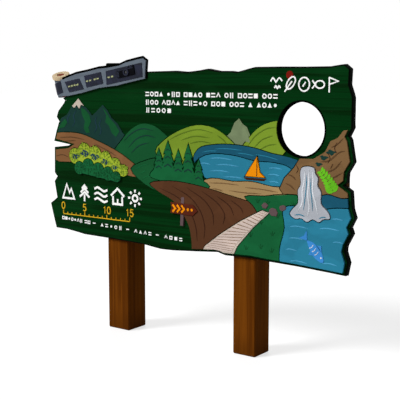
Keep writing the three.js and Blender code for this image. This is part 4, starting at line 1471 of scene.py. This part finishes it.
PEAKS = hundredths((-46, -42, -14, 44, 8, -8, 22, 18, 46, -42, -46, -42))
PINE = hundredths(
    (-38, -24, 0, 6, 38, -24), (-30, 2, 0, 28, 30, 2), (-20, 26, 0, 46, 20, 26), (0, -50, 0, -8))
HUT = hundredths((-50, 2, 0, 46, 50, 2), (-34, 0, -34, -46, 34, -46, 34, 0), (0, -42, 0, -16))
FLAG = hundredths((-30, -50, -30, 48), (-26, 43, 42, 22, -26, 2))
ZERO = hundredths((-50, 0, -38, 38, 0, 50, 38, 38, 50, 0, 38, -38, 0, -50, -38, -38, -50, 0))
ONE = hundredths((-25, 28, 8, 50, 8, -50))
FIVE = hundredths((42, 50, -34, 50, -40, 8, 12, 14, 46, -14, 30, -42, -8, -50, -46, -36))
DIGITS = {"0": ZERO, "1": ONE, "5": FIVE}


def wave_line(up):
    return curved([(-0.5, up), (-0.25, up + 0.1), (0, up), (0.25, up - 0.1), (0.5, up)], 5)


def oval(middle, along, across, turned_by):
    """A closed path round an oval that is turned in the plane."""
    way = Matrix.Rotation(turned_by, 2)
    ring = closed(disc_outline((0, 0), 1))
    return [Vector(middle) + way @ Vector((spot.x * along, spot.y * across)) for spot in ring]


SUN = [closed(disc_outline((0, 0), 0.18)), *[[way * 0.34, way * 0.5] for way in directions(8)]]
BIRD = [[*curved([(-0.5, 0.16), (-0.3, 0.4), (-0.04, 0.12)], 5),
         *curved([(-0.04, 0.12), (0.24, 0.4), (0.5, 0.2)], 5)[1:]],
        curved([(-0.16, -0.26), (-0.04, -0.12), (0.1, -0.28), (0.24, -0.12), (0.36, -0.24)], 4)]
BROAD_LEAF = [oval((0.06, 0.08), 0.48, 0.27, math.radians(48)), [(-0.46, -0.5), (0.16, 0.2)]]
COMPASS = [closed(disc_outline((0, 0), 0.44)), [(-0.12, -0.15), (0.12, 0.15)]]
FISH = [oval((0.12, 0), 0.36, 0.24, 0), [(-0.5, 0.26), (-0.26, 0), (-0.5, -0.26)]]
TITLE = {"peaks": PEAKS, "pine": PINE, "waves": [wave_line(up) for up in (0.32, 0, -0.32)],
         "hut": HUT, "sun": SUN}
CREST = {"bird": BIRD, "leaf": BROAD_LEAF, "compass": COMPASS, "fish": FISH, "flag": FLAG}


class SIGN_OT_title(bpy.types.Operator):
    """Mount the large pictograms, each on its own shadow."""

    bl_idname = "sign.title"
    bl_label = "Large pictograms"

    def execute(self, context):
        sizes = context.scene.sign_marks
        across = Vector((sizes.title_width, sizes.title_height))
        face, shade = (on(board_front, sizes.proud / part, sizes.rounding) for part in (1, 3))
        for (name, strokes), u in zip(TITLE.items(), TITLE_PLACES):
            middle = on_board(u, TITLE_HEIGHT)
            white = face.pictogram(middle, strokes, across, sizes.title_stroke)
            mount(f"pictogram_{name}", white, "white_paint", "marks_white")
            middle += Vector(TITLE_SHADOW)
            dark = shade.pictogram(middle, strokes, across, sizes.title_stroke)
            mount(f"shadow_{name}", dark, "edge_stain", "edging")
        return {"FINISHED"}


TITLE_PLACES = (-0.44, -0.3745, -0.309, -0.244, -0.178)
TITLE_HEIGHT = 0.27
TITLE_SHADOW = (0.0035, -0.0035)


class SIGN_OT_crest(bpy.types.Operator):
    """Mount the small pictograms and the dot over them."""

    bl_idname = "sign.crest"
    bl_label = "Small pictograms"

    def execute(self, context):
        sizes = context.scene.sign_marks
        across = Vector((sizes.crest_width, sizes.crest_height))
        face, behind = (on(board_front, sizes.proud / part, sizes.rounding) for part in (1, 2))
        for (name, strokes), u in zip(CREST.items(), CREST_PLACES):
            white = face.pictogram(on_board(u, CREST_HEIGHT), strokes, across, sizes.crest_stroke)
            mount(f"crest_{name}", white, "white_paint", "marks_white")
        dot = behind.plate(disc_outline(on_board(*DOT_PLACE), DOT_REACH, 20))
        mount("crest_dot", [dot], "red_paint", "marks_red")
        return {"FINISHED"}


CREST_PLACES = (0.2895, 0.3295, 0.3695, 0.4095, 0.4495)
CREST_HEIGHT = 0.93
DOT_PLACE = (0.3275, 0.976)
DOT_REACH = 0.0215


# Rows of plain marks stand where a sign has its text.


MARK_DESIGNS = [  # outlines and strokes in a square of one
    ([rectangle(-0.37, -0.37, 0.37, 0.37)], []),
    ([], [closed(rectangle(-0.3, -0.3, 0.3, 0.3))]),
    ([rectangle(-0.3, -0.45, -0.1, 0.45), rectangle(0.1, -0.45, 0.3, 0.45)], []),
    ([rectangle(-0.4, 0.14, 0.4, 0.36), rectangle(-0.4, -0.36, 0.4, -0.14)], []),
    ([], [closed(disc_outline((0, 0), 0.32, 14))]),
    ([], [[(-0.36, -0.3), (0, 0.34), (0.36, -0.3)]]),
    ([[(-0.4, -0.36), (0.4, -0.36), (0, 0.4)]], []),
    ([disc_outline((0, 0), 0.26, 12)], []),
]
MARK_STROKE_SHARE = 0.19


def mark_templates(height, sizes):
    """The marks at the origin, in metres."""
    layer = on(board_front, sizes.proud, sizes.rounding / 2)
    templates = []
    for outlines, lines in MARK_DESIGNS:
        made = [layer.plate([Vector(p) * height for p in outline]) for outline in outlines]
        made += [layer.ribbon([Vector(p) * height for p in line], height * MARK_STROKE_SHARE)
                 for line in lines]
        templates.append(joined("mark", made))
    return templates


def text_row(start, end, words, dice):
    """Places and designs of the marks in a row of words, from its start to its end."""
    way = (end - start).normalized()
    cells = sum(words) + len(words) * WORD_GAP
    pitch = (end - start).length / cells
    spots, along = [], pitch / 2
    for count in words:
        for _ in range(count):
            spots.append((start + way * along, dice.randrange(len(MARK_DESIGNS))))
            along += pitch
        along += pitch * WORD_GAP
    return spots


WORD_GAP = 0.6


def set_rows(name, spots, height, sizes):
    """All the marks of a block of rows, as one piece."""
    made = []
    for design, template in enumerate(mark_templates(height, sizes)):
        steps = [Vector((spot.x, 0, spot.y)) for spot, chosen in spots if chosen == design]
        if steps:
            made.append(repeated(name, template, [Matrix.Translation(step) for step in steps]))
        else:
            bpy.data.objects.remove(template)
    return mount(name, made, "white_paint", "marks_white")


class SIGN_OT_text_rows(bpy.types.Operator):
    """Set the rows of plain marks: a paragraph, and a route of places joined by dashes."""

    bl_idname = "sign.text_rows"
    bl_label = "Rows of marks"

    def execute(self, context):
        sizes = context.scene.sign_marks
        dice = random.Random(4)
        for name, rows, height in (("paragraph", PARAGRAPH, sizes.line_mark),
                                   ("route", ROUTE, sizes.route_mark)):
            spots = []
            for start, end, words in rows:
                spots += text_row(on_board(*start), on_board(*end), words, dice)
            set_rows(name, spots, height, sizes)
        layer = on(board_front, sizes.proud, sizes.rounding)
        dashes = []
        for _, end, _ in ROUTE[:-1]:
            x, z = on_board(*end)
            dashes.append(layer.plate(rectangle(x + DASH_GAP, z - DASH_HEIGHT / 2,
                                                x + DASH_GAP + DASH_LENGTH, z + DASH_HEIGHT / 2)))
        mount("route_dashes", dashes, "white_paint", "marks_white")
        return {"FINISHED"}


DASH_GAP = 0.005
DASH_LENGTH = 0.022
DASH_HEIGHT = 0.006
PARAGRAPH = [
    ((-0.138, 0.868), (0.305, 0.868), (4, 3, 4, 3, 2, 4, 3)),
    ((-0.138, 0.822), (0.305, 0.822), (3, 4, 5, 3, 3, 1, 4)),
    ((-0.138, 0.778), (-0.032, 0.778), (5,)),
]
ROUTE = [
    ((-0.47, 0.105), (-0.345, 0.094), (7, 2)), ((-0.315, 0.0915), (-0.215, 0.083), (5,)),
    ((-0.185, 0.08), (-0.105, 0.073), (4,)), ((-0.075, 0.07), (0.005, 0.063), (4,)),
]


class SIGN_OT_distance(bpy.types.Operator):
    """Set the distance scale: four numbers over a ruled bar."""

    bl_idname = "sign.distance"
    bl_label = "Distance scale"

    def execute(self, context):
        sizes = context.scene.sign_marks
        layer = on(board_front, sizes.proud, sizes.rounding)
        across = Vector((0.62, 1)) * sizes.digit
        made = []
        for u, number in zip(NUMBER_PLACES, NUMBERS):
            for i, digit in enumerate(number):
                beside = (i - (len(number) - 1) / 2) * sizes.digit * 0.8
                middle = on_board(u, NUMBER_HEIGHT) + Vector((beside, 0))
                made += layer.pictogram(middle, DIGITS[digit], across, sizes.digit * 0.16)
        mount("distance_numbers", made, "yellow_paint", "marks_yellow")
        first, last = (on_board(NUMBER_PLACES[end], BAR_HEIGHT) for end in (0, -1))
        ruler = [layer.ribbon([first, last], BAR_WIDTH)]
        for i in range(BAR_TICKS + 1):
            spot = between(first, last, i / BAR_TICKS)
            tick = TICKS[i % 5 == 0]
            ruler.append(layer.ribbon([spot + Vector((0, up)) for up in (BAR_WIDTH / 3, tick)], BAR_WIDTH))
        mount("distance_bar", ruler, "yellow_paint", "marks_yellow")
        return {"FINISHED"}


NUMBERS = ("0", "5", "10", "15")
NUMBER_PLACES = (-0.463, -0.375, -0.287, -0.199)
NUMBER_HEIGHT = 0.181
BAR_HEIGHT = 0.13
BAR_WIDTH = 0.006
BAR_TICKS = 15
TICKS = (0.014, 0.024)  # heights of a short tick and of every fifth one


class SIGN_OT_waymark(bpy.types.Operator):
    """Stand a waymark by the path: a pole, a pointed blade, and chevrons on it."""

    bl_idname = "sign.waymark"
    bl_label = "Waymark"

    def execute(self, context):
        sizes = context.scene.sign_marks
        front = front_of("field_brown") - sizes.proud / 2
        upright = Layer(board_front + SEAT, front, sizes.rounding)
        pole = upright.ribbon([on_board(*POLE_FOOT), on_board(*POLE_HEAD)], POLE_WIDTH)
        mount("waymark_pole", [pole], "stone", "picture_bluff")
        middle = on_board(*BLADE_PLACE)
        blade = Layer(front, front - BLADE_THICKNESS, BLADE_ROUNDING)
        mount("waymark_blade", [blade.plate([middle + Vector(spot) for spot in BLADE])], "blade",
              "picture_rust")
        layer = on(front - BLADE_THICKNESS, ARROW_PROUD, ARROW_ROUNDING)
        arrows = [layer.ribbon([middle + Vector((x + along, up)) for along, up in ARROW], ARROW_WIDTH)
                  for x in ARROW_PLACES]
        arrows += [layer.plate(disc_outline(middle + Vector((x, 0)), SPOT_REACH, 12))
                   for x in SPOT_PLACES]
        mount("waymark_arrows", arrows, "orange", "picture_orange")
        return {"FINISHED"}


POLE_WIDTH = 0.022
BLADE_THICKNESS = 0.004
BLADE_ROUNDING = 0.0015
ARROW_PROUD = 0.0014
ARROW_ROUNDING = 0.0004
ARROW_WIDTH = 0.012
SPOT_REACH = 0.0085
ARROW = [(-0.012, 0.021), (0.008, 0), (-0.012, -0.021)]
ARROW_PLACES = (-0.066, -0.034, -0.002)
SPOT_PLACES = (0.033, 0.06)
POLE_FOOT = (-0.008, 0.145)
POLE_HEAD = (-0.004, 0.305)
BLADE_PLACE = (0.0, 0.24)
BLADE = [(-0.098, -0.03), (0.066, -0.034), (0.1, -0.004), (0.068, 0.03), (-0.095, 0.034),
         (-0.088, 0.002)]


class SIGN_OT_film_marks(bpy.types.Operator):
    """Mark the film's frames with a row of pale dashes."""

    bl_idname = "sign.film_marks"
    bl_label = "Film marks"

    def execute(self, context):
        sizes = context.scene.sign_plaque
        mark = rectangle(-sizes.dash / 2, -sizes.dash_height / 2, sizes.dash / 2, sizes.dash_height / 2)
        made = []
        for node, places in FILM_MARKS.items():
            layer = on_field(node)
            for along in places:
                spot = on_plaque(middle_of(node).xz, along, 0)
                made.append(layer.plate([on_plaque(spot, *corner) for corner in mark]))
        mount("film_marks", made, "film_mark", "marks_yellow")
        return {"FINISHED"}


FILM_MARKS = {
    "film_frame_2": (-0.042, -0.018, 0.006, 0.03),
    "film_frame_3": (-0.052, -0.026, 0.012, 0.036),
    "film_frame_4": (-0.12, -0.092),
}


# Stage


class Surroundings(Finish):
    """The world's own shader."""

    def __init__(self, world):
        self.tree = world.node_tree
        self.shader = self.tree.nodes["Background"]
        self.shader.inputs["Color"].default_value = (1, 1, 1, 1)


class SIGN_OT_stage(bpy.types.Operator):
    """Set the floor, the white surroundings, the lamps and the camera."""

    bl_idname = "sign.stage"
    bl_label = "Stage"

    def execute(self, context):
        stage = context.scene.sign_stage
        context.scene.view_settings.view_transform = "Standard"
        self.lay_floor(stage)
        self.surround(context, stage)
        self.hang_lamp("key_lamp", stage.key, stage.softness, KEY_FROM)
        self.hang_lamp("fill_lamp", stage.fill, stage.softness, FILL_FROM)
        self.set_camera(context, stage)
        return {"FINISHED"}

    def lay_floor(self, stage):
        begin()
        bpy.ops.mesh.primitive_circle_add(
            vertices=64, radius=stage.floor_radius, fill_type="NGON")
        floor = bpy.context.object
        floor.name = "floor"
        floor.data.materials.append(floor_finish(stage))

    def surround(self, context, stage):
        world = bpy.data.worlds.new("surroundings")
        context.scene.world = world
        world.use_nodes = True
        sky = Surroundings(world)
        seen = seen_directly(sky)
        sky.feed(sky.shader.inputs["Strength"], stage.ambient + seen * (1 - stage.ambient))

    def hang_lamp(self, name, strength, softness, towards):
        begin()
        bpy.ops.object.light_add(type="SUN")
        lamp = bpy.context.object
        lamp.name = name
        lamp.data.energy = strength
        lamp.data.angle = softness
        lamp.rotation_mode = "QUATERNION"
        lamp.rotation_quaternion = Vector(towards).to_track_quat("Z", "Y")

    def set_camera(self, context, stage):
        begin()
        bpy.ops.object.camera_add()
        camera = bpy.context.object
        round_by, down = stage.azimuth, stage.elevation
        back = Vector((math.sin(round_by) * math.cos(down), -math.cos(round_by) * math.cos(down),
                       math.sin(down)))
        aim = Vector((board_middle + stage.aim_beside, board_front, stage.aim_up))
        camera.location = aim + back * stage.distance
        camera.rotation_euler = Euler((math.pi / 2 - down, 0, round_by))
        camera.data.sensor_width = 36
        camera.data.lens = stage.lens
        context.scene.camera = camera


KEY_FROM = (-0.47, -0.671, 0.574)
FILL_FROM = (-0.5, 0.7, 0.5)
OPERATORS = [
    SIGN_OT_stage, SIGN_OT_planks, SIGN_OT_edging, SIGN_OT_posts, SIGN_OT_battens,
    SIGN_OT_fixings, SIGN_OT_picture, SIGN_OT_hills, SIGN_OT_plants, SIGN_OT_water, SIGN_OT_path,
    SIGN_OT_title, SIGN_OT_crest, SIGN_OT_text_rows, SIGN_OT_distance, SIGN_OT_waymark,
    SIGN_OT_plaque, SIGN_OT_plaque_camera, SIGN_OT_film_marks,
]
GROUPS = {
    "sign_stage": StageSettings, "sign_board": BoardSizes, "sign_picture": PictureSizes,
    "sign_marks": MarkSizes, "sign_plaque": PlaqueSizes, "sign_colours": SignColours,
}


class SIGN_PT_sidebar(bpy.types.Panel):
    """Lists the sign's pieces and settings."""

    bl_idname = "SIGN_PT_sidebar"
    bl_label = "Park sign"
    bl_space_type = "VIEW_3D"
    bl_region_type = "UI"
    bl_category = "Sign"

    def draw(self, context):
        for operator in OPERATORS:
            self.layout.operator(operator.bl_idname)
        for name, group in GROUPS.items():
            for setting in group.__annotations__:
                self.layout.prop(getattr(context.scene, name), setting)


def register():
    for item in [*GROUPS.values(), *OPERATORS, SIGN_PT_sidebar]:
        bpy.utils.register_class(item)
    for name, group in GROUPS.items():
        setattr(bpy.types.Scene, name, bpy.props.PointerProperty(type=group))


def unregister():
    for name in GROUPS:
        delattr(bpy.types.Scene, name)
    for item in [SIGN_PT_sidebar, *reversed(OPERATORS), *GROUPS.values()]:
        bpy.utils.unregister_class(item)


def main():
    register()
    for operator in OPERATORS:
        group, name = operator.bl_idname.split(".")
        getattr(getattr(bpy.ops, group), name)()
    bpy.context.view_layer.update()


if __name__ == "__main__":
    main()
